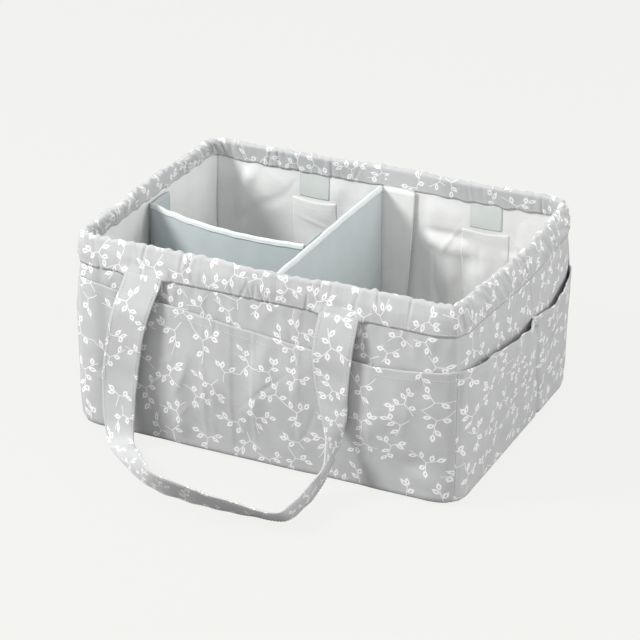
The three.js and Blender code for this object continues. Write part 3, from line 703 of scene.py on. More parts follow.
PRINTED = cotton("printed cotton", (0.54, 0.543, 0.546), 2400.0, 0.5 * MM, (0.92, 0.92, 0.915, 1))
LINING = cotton("lining cotton", (0.79, 0.79, 0.78), 2600.0, 0.5 * MM)
MINT = cotton("mint cotton", (0.50, 0.552, 0.56), 2600.0, 0.4 * MM)
TAPE = cotton("binding tape", (0.76, 0.81, 0.805), 1500.0, 0.4 * MM)
LOOP = plain_stuff("loop tape", (0.645, 0.675, 0.65), 0.95, 1400.0, 0.3, 0.6 * MM)
THREAD = plain_stuff("thread", (0.64, 0.645, 0.645), 0.7, 1800.0, 0.2, 0.1 * MM)
BOARD = plain_stuff("foam board", (0.72, 0.71, 0.68), 0.8, 260.0, 0.15, 0.3 * MM)
ELASTIC = plain_stuff("elastic", (0.82, 0.82, 0.80), 0.75, 700.0, 0.2, 0.4 * MM)
print("materials", len(bpy.data.materials))

# %% [markdown]
# ## What each piece stands for
# A dressed piece rides on a body that can move, gets its material and takes the place of one or more
# plain solids, which are hidden. These could be set piece by piece. One helper says all of it together,
# so that nothing is forgotten.

# %% Dressing a piece
def dress(piece, material, body, slot, *nodes):
    """Gives a piece its material and the body it rides on, and hides the solids of the nodes it stands
    for. The slot is not used.
    """
    piece.data.materials.clear()
    piece.data.materials.append(material)
    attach(piece, body)
    if nodes:
        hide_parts(*nodes)
    return piece


print("slots are set by", dress.__name__)

# %% [markdown]
# ## Outer cloth
# The outer cloth is two halves, sewn together down each side. The seam leans a little forward as it
# rises. Under the rim the cloth is drawn up by the elastic, so small upright folds run down from the
# seam and fade. Everywhere the cotton is lightly creased, as after packing. A simulated sheet would
# slide on its board. A surface with limits on its ridges and furrows stays between its neighbours.

# %% Shell halves
SEAM_Y_LOW, SEAM_Y_HIGH = 55 * MM, 20 * MM
SIDE_FROM, SIDE_TO = STRAIGHT_X / 2 - 8 * MM, STRAIGHT_X / 2 + 26 * MM
GATHER_FADE, PLEAT_PITCH = 26 * MM, 17 * MM
LONG_PLEAT, SIDE_PLEAT = 0.4, 0.5
SHELL_CREASE, FURROW_DEPTH = 0.4, 0.4 * MM
COVERED_ROOM, OPEN_ROOM, COVER_STARTS, COVER_ENDS = 0.2 * MM, 2 * MM, 105 * MM, 128 * MM
SEAM_SLOPE, SEAM_SETBACK = 0.12, 0.4 * MM
SHARP_CREASE, SOFT_CREASE, BROAD_WAVE, FINE_WAVE = 1.0, 2.2, 0.7, 0.4
SHELL_TOP, SHELL_THICKNESS = SEAM_Z + 3 * MM, 1.0 * MM
SHELL_LOW, FOOT_TOP, WALL_FROM = 0.6 * MM, 20 * MM, 22 * MM
FOOT_ROWS, WALL_ROWS, SHELL_COLUMNS = 14, 62, 420


def side_seam_at(height):
    """Distance along the lap of the right side seam: it leans forward as it rises."""
    return RIGHT_AT + SEAM_Y_LOW + (SEAM_Y_HIGH - SEAM_Y_LOW) * np.clip(height / SEAM_Z, 0, 1)


def side_share(distance):
    """1 on the two side walls and round their corners, where the elastic draws most."""
    nearest = np.minimum(np.abs(away(distance, 0)), np.abs(away(distance, BACK_AT)))
    return ease(SIDE_FROM, SIDE_TO, nearest)


def crumple(distance, height, seed):
    """Creased cotton in metres: scattered wrinkles on broad soft waves, with their heights in mm."""
    sharp = SHARP_CREASE * wrinkles(distance, height, seed, 150, 19 * MM, 2.4 * MM)
    soft = SOFT_CREASE * wrinkles(distance, height, seed + 3, 70, 36 * MM, 9 * MM)
    broad = BROAD_WAVE * ripples(distance, 0.35 * height, seed + 1, 80 * MM)
    return MM * (sharp + soft + broad + FINE_WAVE * ripples(distance, height, seed + 2, 34 * MM))


def shell_point(distance, height):
    """The shell: short pleats under the rim and light creases, but no ridge where a pocket covers it or
    where the rim is sewn over it, and no furrow that reaches the board behind it."""
    fade = hump(np.clip(SEAM_Z - height, 0, None), GATHER_FADE)
    pleats = ripples(distance, 0.25 * height, 11, PLEAT_PITCH)
    pleats = pleats * (LONG_PLEAT + SIDE_PLEAT * side_share(distance))
    soft = fade * pleats * MM + SHELL_CREASE * crumple(distance, height, 300)
    covered = COVERED_ROOM + OPEN_ROOM * ease(COVER_STARTS, COVER_ENDS, height)
    room = np.minimum(covered, SEAM_SLOPE * (SEAM_Z - height) - SEAM_SETBACK)
    return wall_point(distance, -np.clip(soft, -FURROW_DEPTH, room), height)


def make_shell(name, side, node):
    """One half of the outer cloth, with closer rows at its rolled foot."""
    heights = np.concatenate([np.linspace(SHELL_LOW, FOOT_TOP, FOOT_ROWS),
                              np.linspace(WALL_FROM, SHELL_TOP, WALL_ROWS)])
    edge = side_seam_at(heights)[:, None]
    start, end = (-edge, edge) if side == "front" else (edge, LAP - edge)
    distance = start + (end - start) * np.linspace(0, 1, SHELL_COLUMNS)[None, :]
    height = np.broadcast_to(heights[:, None], distance.shape)
    shell = cloth_grid(name, shell_point(distance, height), np.stack([distance, height], -1))
    dress(thicken(shell, SHELL_THICKNESS), PRINTED, "basket", "printed_cotton", node)
    return shell


front_cloth = make_shell("front_cloth", "front", "front_shell")
back_cloth = make_shell("back_cloth", "back", "back_shell")
print("shell faces", len(front_cloth.data.polygons), len(back_cloth.data.polygons))

# %% [markdown]
# ## Base and hidden boards
# The base is a flat plate with round corners. Its edge is drawn in a little, because the outer cloth
# rolls under it. The boards inside the walls hardly show, but a cut view can see them. Boxes would stick
# out of the bulging walls, so the boards and plates go through the same map as the cloth.

# %% Base cloth and boards
PLATE_SPREAD = np.array([0.02, 0.35, 0.7, 0.97, 1, 1, 0.97, 0.7, 0.35, 0.02])
PLATE_LEVEL = np.array([0, 0, 0, 0, 0.3, 0.7, 1, 1, 1, 1])
BOARD_OUTER, BOARD_INNER = 1.5 * MM, 5.2 * MM
BOARD_ROWS, BOARD_COLUMNS, PLATE_SPOTS = 14, 90, 320
BOARD_SEAM = 0.4 * MM


def plate(name, inset, level, node, material, slot):
    """A flat plate inside the wall, whose soft form at a level it follows: rings run from the middle of
    its underside out to the rim and back over its top."""
    low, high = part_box(node)[0].z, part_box(node)[1].z
    rim = wall_point(np.linspace(-LAP / 2, LAP / 2, PLATE_SPOTS + 1)[:-1], inset, level)[:, :2]
    flat = rim[None] * PLATE_SPREAD[:, None, None]
    rise = np.broadcast_to((low + (high - low) * PLATE_LEVEL)[:, None, None], flat.shape[:2] + (1,))
    points = np.concatenate([flat, rise], -1)
    uv = np.concatenate([points[..., :2], points[:, :1, :2]], 1)
    return dress(closed_sweep(name, points, uv), material, "basket", slot, node)


def make_board(name, centre, half, node):
    """A wall board: up its outer face and down its inner face, in the soft wall between the outer
    cloth and the lining."""
    low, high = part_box(node)
    distance = np.linspace(centre - half, centre + half, BOARD_COLUMNS)[:, None]
    climb = np.linspace(low.z + 4 * MM, high.z, BOARD_ROWS)
    height = np.concatenate([climb, climb[::-1]])[None]
    depth = np.repeat([BOARD_OUTER, BOARD_INNER], BOARD_ROWS)[None]
    run = np.arange(2 * BOARD_ROWS + 1)[None] * 10 * MM
    uv = np.stack(np.broadcast_arrays(distance, run), -1)
    board = closed_sweep(name, wall_point(distance, depth, height), uv)
    return dress(board, BOARD, "basket", "stiff_board", node)


base_cloth = plate("base_cloth", 0.4 * MM, 0.7 * MM, "base_panel", PRINTED, "printed_cotton")
plate("base_foam", 4 * MM, 3 * MM, "base_board", BOARD, "stiff_board")
floor_cloth = plate("lining_floor_cloth", WALL - 1 * MM, FLOOR_Z, "lining_floor", LINING,
                    "lining_cotton")
for board_name, board_centre, board_half in (
        ("front", 0, STRAIGHT_X / 2), ("back", BACK_AT, STRAIGHT_X / 2),
        ("right", RIGHT_AT, STRAIGHT_Y / 2 + ARC), ("left", -RIGHT_AT, STRAIGHT_Y / 2 + ARC)):
    make_board(f"{board_name}_foam", board_centre, board_half - BOARD_SEAM, f"{board_name}_board")
print("base and boards made")

# %% [markdown]
# ## Gathered rim
# A casing folds over the top of the walls with an elastic band inside. On the short sides the band
# pulls the cloth into tight slanted gathers, so that the rim looks like a soft rope. On the long
# walls it lies flatter, with pinched creases and an uneven top edge. A simulated band would need many
# steps to settle and could end another way each time. Here the gathers are waves whose pitch and height
# follow the pull of the elastic, and a whole number of them closes round the lap.

# %% Casing sizes and gathers round the lap
CASING_COLUMNS = 1500
FOLD_RADIUS = WALL / 2
SIDE_PITCH, LONG_PITCH = 8.0 * MM, 21 * MM
SIDE_GATHER, LONG_GATHER = 2.1 * MM, 0.3 * MM
SIDE_FULLNESS, LONG_FULLNESS = 1.3, 1.08
SIDE_PUFF, LONG_PUFF, INNER_PUFF = 1.3 * MM, 0.7 * MM, 0.9 * MM
LONG_INNER_LEG, SIDE_INNER_LEG = 17 * MM, 12.5 * MM
OUTER_LEG = RIM_Z - FOLD_RADIUS - SEAM_Z
OVER_FOLD = math.pi * FOLD_RADIUS
PINCH_COUNT = 110
STRAP_COVER = 2.7 * MM
RIM_ROLL = 4.5 * MM
ELASTIC_DEPTH = 2.6 * MM
RIGHT_SLACK = 0.45
SLACK_FROM, SLACK_TO = 0.5 * STRAIGHT_Y + 0.6 * ARC, 0.5 * STRAIGHT_Y + 1.3 * ARC
UNEVEN_LEAST, UNEVEN_MOST = 0.4, 2
PASS_HALF, PASS_END = 22 * MM, 60 * MM


def summed(density):
    """Running sum of a density along the lap, from 0 to its whole."""
    return np.concatenate([[0], np.cumsum(density) * LAP / CASING_COLUMNS])


ring_marks = np.linspace(-LAP / 2, LAP / 2, CASING_COLUMNS + 1)[:-1]
right_side = 1 - ease(SLACK_FROM, SLACK_TO, np.abs(away(ring_marks, RIGHT_AT)))
pull = side_share(ring_marks) * (1 - RIGHT_SLACK * right_side)
uneven = np.clip(1 + 0.5 * ripples(ring_marks, 0, 21, 55 * MM), UNEVEN_LEAST, UNEVEN_MOST)
turns = summed(uneven / (LONG_PITCH + (SIDE_PITCH - LONG_PITCH) * pull))
turns = turns * (round(turns[-1]) / turns[-1])
cloth_run = summed(LONG_FULLNESS + (SIDE_FULLNESS - LONG_FULLNESS) * pull)
inner_leg = LONG_INNER_LEG + (SIDE_INNER_LEG - LONG_INNER_LEG) * pull
inner_leg = inner_leg + 0.8 * MM * ripples(ring_marks, 0, 27, 26 * MM)
over_strap = near(ring_marks, LEG_MARKS, 0.5 * STRAP_WIDTH, 0.75 * STRAP_WIDTH)
passing = near(ring_marks, FLANGE_PLACES, PASS_HALF, PASS_END)
print("whole gathers", round(turns[-1]), "cloth in the casing in mm", round(cloth_run[-1] / MM))

# %% [markdown]
# ## The casing's surface
# The profile of the casing climbs the outer leg, goes over the fold and comes down the inner leg.
# Gathers, puffs and pinches move it along its own normal. It gives way where a strap comes out under it
# and lies flat where a divider's flange slides past.

# %% Casing
PINCH_SIZES, PINCH_LEAN, TOP_PINCHES = (0.4, 1.6), 0.5, 0.6
PINCH_SWELL, SWELL_HALF, FURROW_HALF, PINCH_LOSS = 0.5, 5 * MM, 1.6 * MM, 0.5
TOP_SHARES, FOOT_SHARES = (0.05, 0.5), (0.1, 0.45)
ROLL_POWER, ROLL_HELD = 1.3, 0.4
TOP_THIN, THIN_FROM, THIN_TO = 0.36, RIM_Z - 14 * MM, RIM_Z - 3 * MM
SEWN_LEAST, SEWN_REACH = 0.12, 10 * MM
CREST_SOFTNESS, FINE_TURNS, FINE_SHARE, FINE_DRIFT = 0.02, 2.7, 0.3, 4
SLANT_MEAN, SLANT_VARIES, GATHER_MEAN, GATHER_VARIES = 0.6, 0.5, 0.85, 0.35
EDGE_MEAN, EDGE_FINE, EDGE_SLOW, EDGE_POWER = 0.4, 0.75, 0.5, 4
PASS_BEND = (0.5 * math.pi, 0.8 * math.pi)
PUFF_POWER = 0.8
COVER_FROM, COVER_TO = 1 * MM, 11 * MM
RISE_SHARE = 0.6


def casing_run(level):
    """Length along the cut at a level: 0 to 1 climbs the outer leg, 1 to 2 goes over the fold and 2 to
    3 comes down the inner leg."""
    level = np.asarray(level, float)[:, None]
    legs = OUTER_LEG * np.clip(level, 0, 1) + OVER_FOLD * np.clip(level - 1, 0, 1)
    return legs + inner_leg[None] * np.clip(level - 2, 0, 1)


def pinches(run, share):
    """Pinched creases: sharp furrows between soft swells, from the top edge or up from the seam."""
    draw = np.random.default_rng(33)
    total = 0
    for _ in range(PINCH_COUNT):
        place, lean = draw.uniform(-LAP / 2, LAP / 2), draw.uniform(-PINCH_LEAN, PINCH_LEAN)
        size, from_top = draw.uniform(*PINCH_SIZES), draw.random() < TOP_PINCHES
        reach = ease(*TOP_SHARES, share) if from_top else 1 - ease(*FOOT_SHARES, share)
        gap = away(ring_marks[None] - lean * (run - OUTER_LEG), place)
        total = total + size * reach * (PINCH_SWELL * hump(gap, SWELL_HALF) - hump(gap, FURROW_HALF))
    return MM * total


def roll(height):
    """How far the elastic draws the rim inwards at a height: none at the seam, most at the top, and
    none where a flange slides past it."""
    share = np.clip((height - SEAM_Z) / (RIM_Z - SEAM_Z), 0, 1)
    return RIM_ROLL * share ** ROLL_POWER * (1 - ROLL_HELD * pull) * (1 - passing)


def gathers(run, cut):
    """Waves of the gathered cloth: rounded crests with sharp valleys, slanted where the elastic pulls,
    with a finer wave on them, and held flat near both seams."""
    held = SEWN_LEAST + (1 - SEWN_LEAST) * ease(0, SEWN_REACH, np.minimum(run, cut - run))
    slant = (SLANT_MEAN + SLANT_VARIES * ripples(ring_marks, 0, 29, 90 * MM)) * pull / SIDE_PITCH
    wave = 2 * math.pi * (turns[:-1][None] + slant[None] * (run - OUTER_LEG - OVER_FOLD / 2))
    crest = 2 * np.sqrt(np.cos(wave / 2) ** 2 + CREST_SOFTNESS) - 1
    fine = np.sin(FINE_TURNS * wave + FINE_DRIFT * ripples(ring_marks, 0, 5, 40 * MM))
    amount = LONG_GATHER + (SIDE_GATHER - LONG_GATHER) * pull
    amount = amount * (GATHER_MEAN + GATHER_VARIES * ripples(ring_marks, 0, 37, 30 * MM))
    return amount * (crest + FINE_SHARE * fine) * held


def casing_points(level):
    """The gathered casing: levels of the profile (rows) by marks round the lap (columns)."""
    run = casing_run(level)
    cut = OUTER_LEG + OVER_FOLD + inner_leg[None]
    bend = np.clip(run - OUTER_LEG, 0, OVER_FOLD) / FOLD_RADIUS
    depth = FOLD_RADIUS * (1 - np.cos(bend))
    height = SEAM_Z + np.minimum(run, OUTER_LEG) + FOLD_RADIUS * np.sin(bend)
    height = height - np.clip(run - OUTER_LEG - OVER_FOLD, 0, None)
    thin = TOP_THIN * (1 - pull) * ease(THIN_FROM, THIN_TO, height)
    depth = depth + np.maximum(FOLD_RADIUS - depth, 0) * thin + roll(height)
    outer = np.sin(math.pi * np.clip(run / (OUTER_LEG + FOLD_RADIUS), 0, 1)) ** PUFF_POWER
    inner = np.sin(math.pi * np.clip((cut - run) / (inner_leg + FOLD_RADIUS), 0, 1)) ** PUFF_POWER
    puff = (LONG_PUFF + (SIDE_PUFF - LONG_PUFF) * pull) * outer + INNER_PUFF * pull * inner
    cover = STRAP_COVER * over_strap * (1 - ease(COVER_FROM, COVER_TO, run))
    lift = gathers(run, cut) + puff + cover + pinches(run, run / cut) * (1 - PINCH_LOSS * pull)
    lift = lift * (1 - passing * ease(*PASS_BEND, bend))
    edge = EDGE_MEAN + EDGE_FINE * ripples(ring_marks, 0, 8, 11 * MM)
    edge = edge + EDGE_SLOW * ripples(ring_marks, 0, 9, 30 * MM)
    rise = np.sin(bend) * RISE_SHARE * lift + MM * edge * np.sin(bend) ** EDGE_POWER
    return wall_point(ring_marks[None], depth - np.cos(bend) * lift, height + rise)


fold_top = casing_points(np.array([1.5]))[..., 2]
print("top of the rim in mm, from", round(fold_top.min() / MM), "to", round(fold_top.max() / MM))

# %% [markdown]
# ## Sewing the rim
# The casing is one grid, closed round the lap and thickened. The elastic band lies inside it, and a row
# of stitches goes round at each of its two seams. The print's coordinates follow the cut cloth and not
# the walls, so the leaves bunch up where the cloth is gathered.

# %% Rim cloth, elastic and stitches
OUTER_ROWS, FOLD_ROWS, INNER_ROWS = 12, 10, 8
OUTER_SEAM_LEVEL, INNER_SEAM_LEVEL, SEAM_STEP = 0.1, 2.86, 0.02
CASING_THICKNESS, RIM_PRINT_SHIFT = 0.8 * MM, 0.4
ELASTIC_ROWS, ELASTIC_THICKNESS = 8, 1.4 * MM


def make_casing():
    """The gathered casing as one closed sheet."""
    outer = np.linspace(0, 1, OUTER_ROWS + 1)[:-1]
    fold = np.linspace(1, 2, FOLD_ROWS + 1)[:-1]
    level = np.concatenate([outer, fold, np.linspace(2, 3, INNER_ROWS + 1)])
    run = casing_run(level) + RIM_PRINT_SHIFT
    run = np.concatenate([run, run[:, :1]], 1)
    uv = np.stack(np.broadcast_arrays(cloth_run[None], run), -1)
    casing = cloth_grid("rim_cloth", casing_points(level), uv, closed=True)
    dress(thicken(casing, CASING_THICKNESS), PRINTED, "basket", "printed_cotton", "rim_casing")
    return casing


def ring_stitches(name, level):
    """A row of stitches round the whole casing at one level of its profile."""
    spread = casing_points([level - SEAM_STEP, level, level + SEAM_STEP])
    spread = np.concatenate([spread, spread[:, :1]], 1)
    dress(stitches(name, spread[1], normals_of(spread)[1]), THREAD, "basket", "printed_cotton")


def make_elastic():
    """The band inside the casing, drawn inwards with it."""
    low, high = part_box("rim_elastic")
    height = np.linspace(low.z, high.z, ELASTIC_ROWS)[:, None]
    points = wall_point(ring_marks[None], ELASTIC_DEPTH + roll(height), height)
    uv = np.stack(np.broadcast_arrays(np.append(ring_marks, LAP / 2)[None], height), -1)
    band = cloth_grid("rim_elastic_band", points, uv, closed=True)
    dress(thicken(band, ELASTIC_THICKNESS), ELASTIC, "basket", "elastic", "rim_elastic")


rim_cloth = make_casing()
make_elastic()
ring_stitches("rim_outer_stitches", OUTER_SEAM_LEVEL)
ring_stitches("rim_inner_stitches", INNER_SEAM_LEVEL)
print("rim faces", len(rim_cloth.data.polygons))

# %% [markdown]
# ## Outer pockets
# A band of the same cloth goes round the walls and is sewn down at the corners and the side seams, so
# it makes one long pocket in front and behind and two on each side. Its mouth has a folded hem with a
# row of stitches. The mouth is not level: it dips, and on the right it stands open. Cutting a mouth into
# a box gives hard edges. A sheet that climbs to the mouth and turns over inside it gives a real hem.

# %% Pocket surfaces
POCKET_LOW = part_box("front_pocket")[0].z
POCKET_HEIGHT, POCKET_CUT = 130 * MM, 0.145
POCKET_ROWS, POCKET_STEP, POCKET_THICKNESS = 76, 1.7 * MM, 0.7 * MM
HEM, HEM_STEP = 8 * MM, 0.01
SEWN_STAND, FREE_STAND, LEAST_STAND = 0.3 * MM, 2.7 * MM, 0.9 * MM
FREE_REACH, SEAM_REACH, GAPE_POWER = 42 * MM, 6 * MM, 2.2
PRESSED_BY, PRESSED_SHARE = 0.9 * MM, 0.7
SEWN_CREASE = 0.45
HEM_FOLD = np.array([[0.4, 0.35], [1, 0.2], [1.3, -0.4], [1.3, -3], [1.3, -8], [1.3, -13]]) * MM
MOUTH_FRONT = np.array([[-190, 151], [-168, 150], [-130, 145], [-71, 141], [-22, 135], [57, 128],
                        [113, 125], [146, 128], [190, 133]]) * MM
MOUTH_SIDE = np.array([[-155, 133], [-90, 131], [0, 121], [41, 117], [70, 115], [110, 121],
                       [155, 130]]) * MM
PACKING_FOLDS = np.array([-54, -26, -4, 41, 109]) * MM
PACKED_BAND = np.array([-28, -24, -6, -2]) * MM
DENT_AT, DENT_HEIGHT, DENT_HALF, DENT_SQUASH = 152 * MM, 37 * MM, 13 * MM, 1.3
FOLD_RIDGE, BAND_DROP, DENT_DROP, RIDGE_HALF = 0.45, 0.7, 2.2, 1.8 * MM


def mouth_height(distance):
    """Height of the pocket's mouth round the lap, from points read off the front and the right wall and
    repeated half a turn on."""
    walk = np.mod(np.asarray(distance, float) + CORNER_AT, LAP / 2)
    front = np.interp(walk - CORNER_AT, MOUTH_FRONT[:, 0], MOUTH_FRONT[:, 1])
    side = np.interp(walk - CORNER_AT - RIGHT_AT, MOUTH_SIDE[:, 0], MOUTH_SIDE[:, 1])
    return np.where(walk < 2 * CORNER_AT, front, side)


def packing_marks(distance, height):
    """Fold lines left by packing on the front: straight upright ridges, one flat band and one dent."""
    ridges = FOLD_RIDGE * sum(hump(away(distance, fold), RIDGE_HALF) for fold in PACKING_FOLDS)
    first, second, third, last = PACKED_BAND
    band = ease(first, second, away(distance, 0)) * (1 - ease(third, last, away(distance, 0)))
    dent = hump(np.hypot(away(distance, DENT_AT), DENT_SQUASH * (height - DENT_HEIGHT)), DENT_HALF)
    return MM * (ridges - BAND_DROP * band - DENT_DROP * dent)


def pocket_point(distance, share, start, end, gape, behind=0):
    """A pocket between two seams: sewn at its ends and bottom, open by gape at its mouth and pressed
    flat under the straps. The layer of its hem lies behind it."""
    inside = np.minimum(distance - start, end - distance)
    free, sewn = ease(0, FREE_REACH, inside), ease(0, SEAM_REACH, inside)
    height = POCKET_LOW + (mouth_height(distance) - POCKET_LOW) * share
    stand = SEWN_STAND + FREE_STAND * sewn + gape * free * share ** GAPE_POWER
    pressed = near(distance, LEG_MARKS, 0.5 * STRAP_WIDTH, STRAP_WIDTH)
    soft = crumple(distance, height, 400) * (SEWN_CREASE + (1 - SEWN_CREASE) * free)
    soft = (soft + packing_marks(distance, height)) * sewn * ease(0, 0.2, share)
    soft = soft * (1 - PRESSED_SHARE * pressed)
    out = np.maximum(stand - PRESSED_BY * pressed + soft, SEWN_STAND + LEAST_STAND * sewn)
    return wall_point(distance, behind - out, height)


mouth_marks = np.linspace(-CORNER_AT, CORNER_AT, 5)
print("front mouth in mm, left to right", np.round(mouth_height(mouth_marks) / MM))

# %% [markdown]
# ## Sewing the pockets
# Each pocket is one sheet between two seams. The print is shifted from pocket to pocket, as on cloth
# that is cut piece by piece. A row of stitches holds the hem below the mouth.

# %% Pocket cloths
def make_pocket(name, start, end, gape, node, print_shift):
    """The pocket's cloth climbs to the mouth and folds over into a hem inside it."""
    columns = round((end(0) - start(0)) / POCKET_STEP)
    share = np.linspace(0, 1, POCKET_ROWS)[:, None]
    height = share * POCKET_HEIGHT
    begin, finish = start(height), end(height)
    distance = begin + (finish - begin) * np.linspace(0, 1, columns)[None, :]
    outside = pocket_point(distance, share + 0 * distance, begin, finish, gape)
    mouth = distance[-1:]
    seams = begin[-1:], finish[-1:]
    behind, below = HEM_FOLD[:, :1], HEM_FOLD[:, 1:]
    inside = pocket_point(mouth, 1 + below / POCKET_HEIGHT, *seams, gape, behind)
    up = np.append(height, POCKET_HEIGHT - HEM_FOLD[:, 1])[:, None]
    run = np.concatenate([distance, np.repeat(mouth, len(HEM_FOLD), 0)])
    uv = np.stack(np.broadcast_arrays(run + print_shift, up + 0.5 * print_shift), -1)
    pocket = cloth_grid(name, np.concatenate([outside, inside]), uv)
    dress(thicken(pocket, POCKET_THICKNESS), PRINTED, "basket", "printed_cotton", node)
    level = 1 - HEM / POCKET_HEIGHT + np.array([[-HEM_STEP], [0], [HEM_STEP]])
    strip = pocket_point(np.repeat(mouth, 3, 0), level + 0 * mouth, *seams, gape)
    row = stitches(f"{name}_stitches", strip[1], normals_of(strip)[1])
    dress(row, THREAD, "basket", "printed_cotton")


def fixed(distance):
    """A seam that stays at one distance at every height."""
    return lambda height: distance + 0 * height


def left_seam(height):
    return -side_seam_at(height)


rear = BACK_AT - CORNER_AT
rear_end = rear + 2 * CORNER_AT
for pocket_node, pocket_start, pocket_end, pocket_gape, print_at in (
        ("front_pocket", fixed(-CORNER_AT), fixed(CORNER_AT), 1.8 * MM, 0.31),
        ("right_front_pocket", fixed(CORNER_AT), side_seam_at, 8 * MM, 0.77),
        ("right_rear_pocket", side_seam_at, fixed(rear), 5 * MM, 1.13),
        ("back_pocket", fixed(rear), fixed(rear_end), 2.5 * MM, 1.57),
        ("left_rear_pocket", fixed(-rear), left_seam, 3 * MM, 1.91),
        ("left_front_pocket", left_seam, fixed(-CORNER_AT), 2 * MM, 2.29)):
    make_pocket(f"{pocket_node}_cloth", pocket_start, pocket_end, pocket_gape, pocket_node, print_at)
print("pockets made")

# %% [markdown]
# ## Lining
# The lining is a loose bag of thin plain cotton sewn in at the rim. It hangs in soft slanted folds.
# Where a loop patch or a flange is sewn or stuck on it, it lies flat. A simulated bag could press into
# the dividers. Folds that only grow inwards from the wall, and calm down where something holds them,
# leave the room that the dividers need.

# %% Lining panels
LINING_TOP = LINING_Z + 10 * MM
LINING_ROWS, LINING_STEP, LINING_THICKNESS = 84, 1.8 * MM, 0.6 * MM
CALM_HALF, CALM_END, CALM_SHARE = 22 * MM, 36 * MM, 0.92
PATCH_MIDDLES = [sum(corner.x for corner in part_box(f"back_patch_{side}")) / 2
                 for side in ("left", "right")]
PATCH_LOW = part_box("back_patch_left")[0].z
PATCH_CALM, PATCH_CALM_HALF, PATCH_CALM_END, PATCH_CALM_DROP = 0.6, 12 * MM, 30 * MM, 30 * MM
SLACK_GROWS, SLACK_LOSS = 25 * MM, 0.85
TIGHT_FROM, TIGHT_TO = LINING_Z - 22 * MM, LINING_Z - 2 * MM
BROAD_FOLD, SHARP_FOLD, SLOW_FOLD, FOLD_MEAN = 5.2, 1.8, 0.8, 1.2
TUCK_BACK, TUCK_FROM, TUCK_TO = 2 * MM, LINING_Z - 1 * MM, LINING_Z + 4 * MM
LINING_BACK = 0.4 * MM


def calm(distance, height):
    """1 under the dividers' flanges, where the lining is held flat, less under the sewn patches, and 0
    where it hangs free."""
    flanges = near(distance, FLANGE_PLACES, CALM_HALF, CALM_END)
    places = [BACK_AT - x for x in PATCH_MIDDLES] + PATCH_MIDDLES
    patches = near(distance, places, PATCH_CALM_HALF, PATCH_CALM_END)
    patches = PATCH_CALM * patches * ease(PATCH_LOW - PATCH_CALM_DROP, PATCH_LOW, height)
    return np.clip(flanges + patches, 0, 1)


def lining_point(distance, height, proud=0):
    """The lining, or a piece sewn on it that stands proud of it. The folds are a sum of creases and
    waves in mm, bent smoothly so that they never go below 0."""
    slack = ease(FLOOR_Z, FLOOR_Z + SLACK_GROWS, height)
    slack = slack * (1 - SLACK_LOSS * ease(TIGHT_FROM, TIGHT_TO, height))
    broad = BROAD_FOLD * wrinkles(distance, height, 51, 90, 50 * MM, 9 * MM)
    sharp = SHARP_FOLD * wrinkles(distance, height, 53, 150, 26 * MM, 3.2 * MM)
    waves = SLOW_FOLD * ripples(distance, 0.8 * height, 55, 90 * MM)
    folds = np.logaddexp(0, FOLD_MEAN + broad + sharp + waves) * slack
    folds = folds * (1 - CALM_SHARE * calm(distance, height))
    under_rim = TUCK_BACK * ease(TUCK_FROM, TUCK_TO, height)
    return wall_point(distance, WALL - LINING_BACK - under_rim + folds * MM + proud, height)


def make_lining(name, centre, half, node):
    """One wall's panel of the lining, facing inwards."""
    spread = np.linspace(centre - half, centre + half, round(2 * half / LINING_STEP))
    distance, height = np.meshgrid(spread, np.linspace(FLOOR_Z - 1 * MM, LINING_TOP, LINING_ROWS))
    uv = np.stack([distance, height], -1)
    lining = cloth_grid(name, lining_point(distance, height), uv, flip=True)
    dress(thicken(lining, LINING_THICKNESS), LINING, "basket", "lining_cotton", node)


for wall_name, wall_centre, wall_half in (
        ("front", 0, CORNER_AT), ("back", BACK_AT, CORNER_AT),
        ("right", RIGHT_AT, RIGHT_AT - CORNER_AT), ("left", -RIGHT_AT, RIGHT_AT - CORNER_AT)):
    make_lining(f"lining_{wall_name}_cloth", wall_centre, wall_half, f"lining_{wall_name}")
print("lining made")

# %% [markdown]
# ## Dividers
# A divider is a thin pad: a board between two mint covers, with a narrow binding over its top edge and
# a flange at each end that sticks to the wall. A bevelled cube would do for a straight one. A closed
# sweep can follow the bowed plan line of the solid too: its section is a rounded slab with a slight
# crown, and the binding is a second, open section over the top edge.

# %% Divider lines
PAD_HALF, PAD_CROWN, PAD_WAVE = 1.5 * MM, 0.7 * MM, 0.2 * MM
PAD_STEPS, PAD_SPOTS, PAD_FACE_POWER, PAD_EDGE_POWER = 120, 64, 0.35, 0.5
BIND_HALF, BIND_DROP, BIND_THICKNESS = 1.9 * MM, 3 * MM, 0.3 * MM
BIND_STEPS, BIND_LEG_ROWS, BIND_TOP_ROWS, BIND_GAP = 140, 5, 15, 0.5 * MM
BIND_SWELL, BIND_RISE = 0.05, 0.25 * MM
CROSS_SWAY, CROSS_TURNS, LONG_BOW = 0.6 * MM, 2.2, 13 * MM
RIPPLED_RUN = 0.3
COVER_HALF = (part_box("cross_divider_right_cover")[1].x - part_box("cross_divider_left_cover")[0].x) / 2


def cross_line(share):
    """Plan line of the cross divider, from the front wall to the back wall."""
    low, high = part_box("cross_divider_board")
    x = (low.x + high.x) / 2 + CROSS_SWAY * np.sin(CROSS_TURNS * math.pi * share)
    return np.stack([x, low.y + (high.y - low.y) * share], -1)


def long_line(share):
    """Plan line of the long divider, bowed to the front as its solid is."""
    low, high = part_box("long_divider_board")
    left_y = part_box("long_divider_left_flange")[0].y + COVER_HALF
    right_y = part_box("long_divider_right_flange")[0].y + COVER_HALF
    y = left_y + (right_y - left_y) * share - LONG_BOW * 4 * share * (1 - share)
    return np.stack([low.x + (high.x - low.x) * share, y], -1)


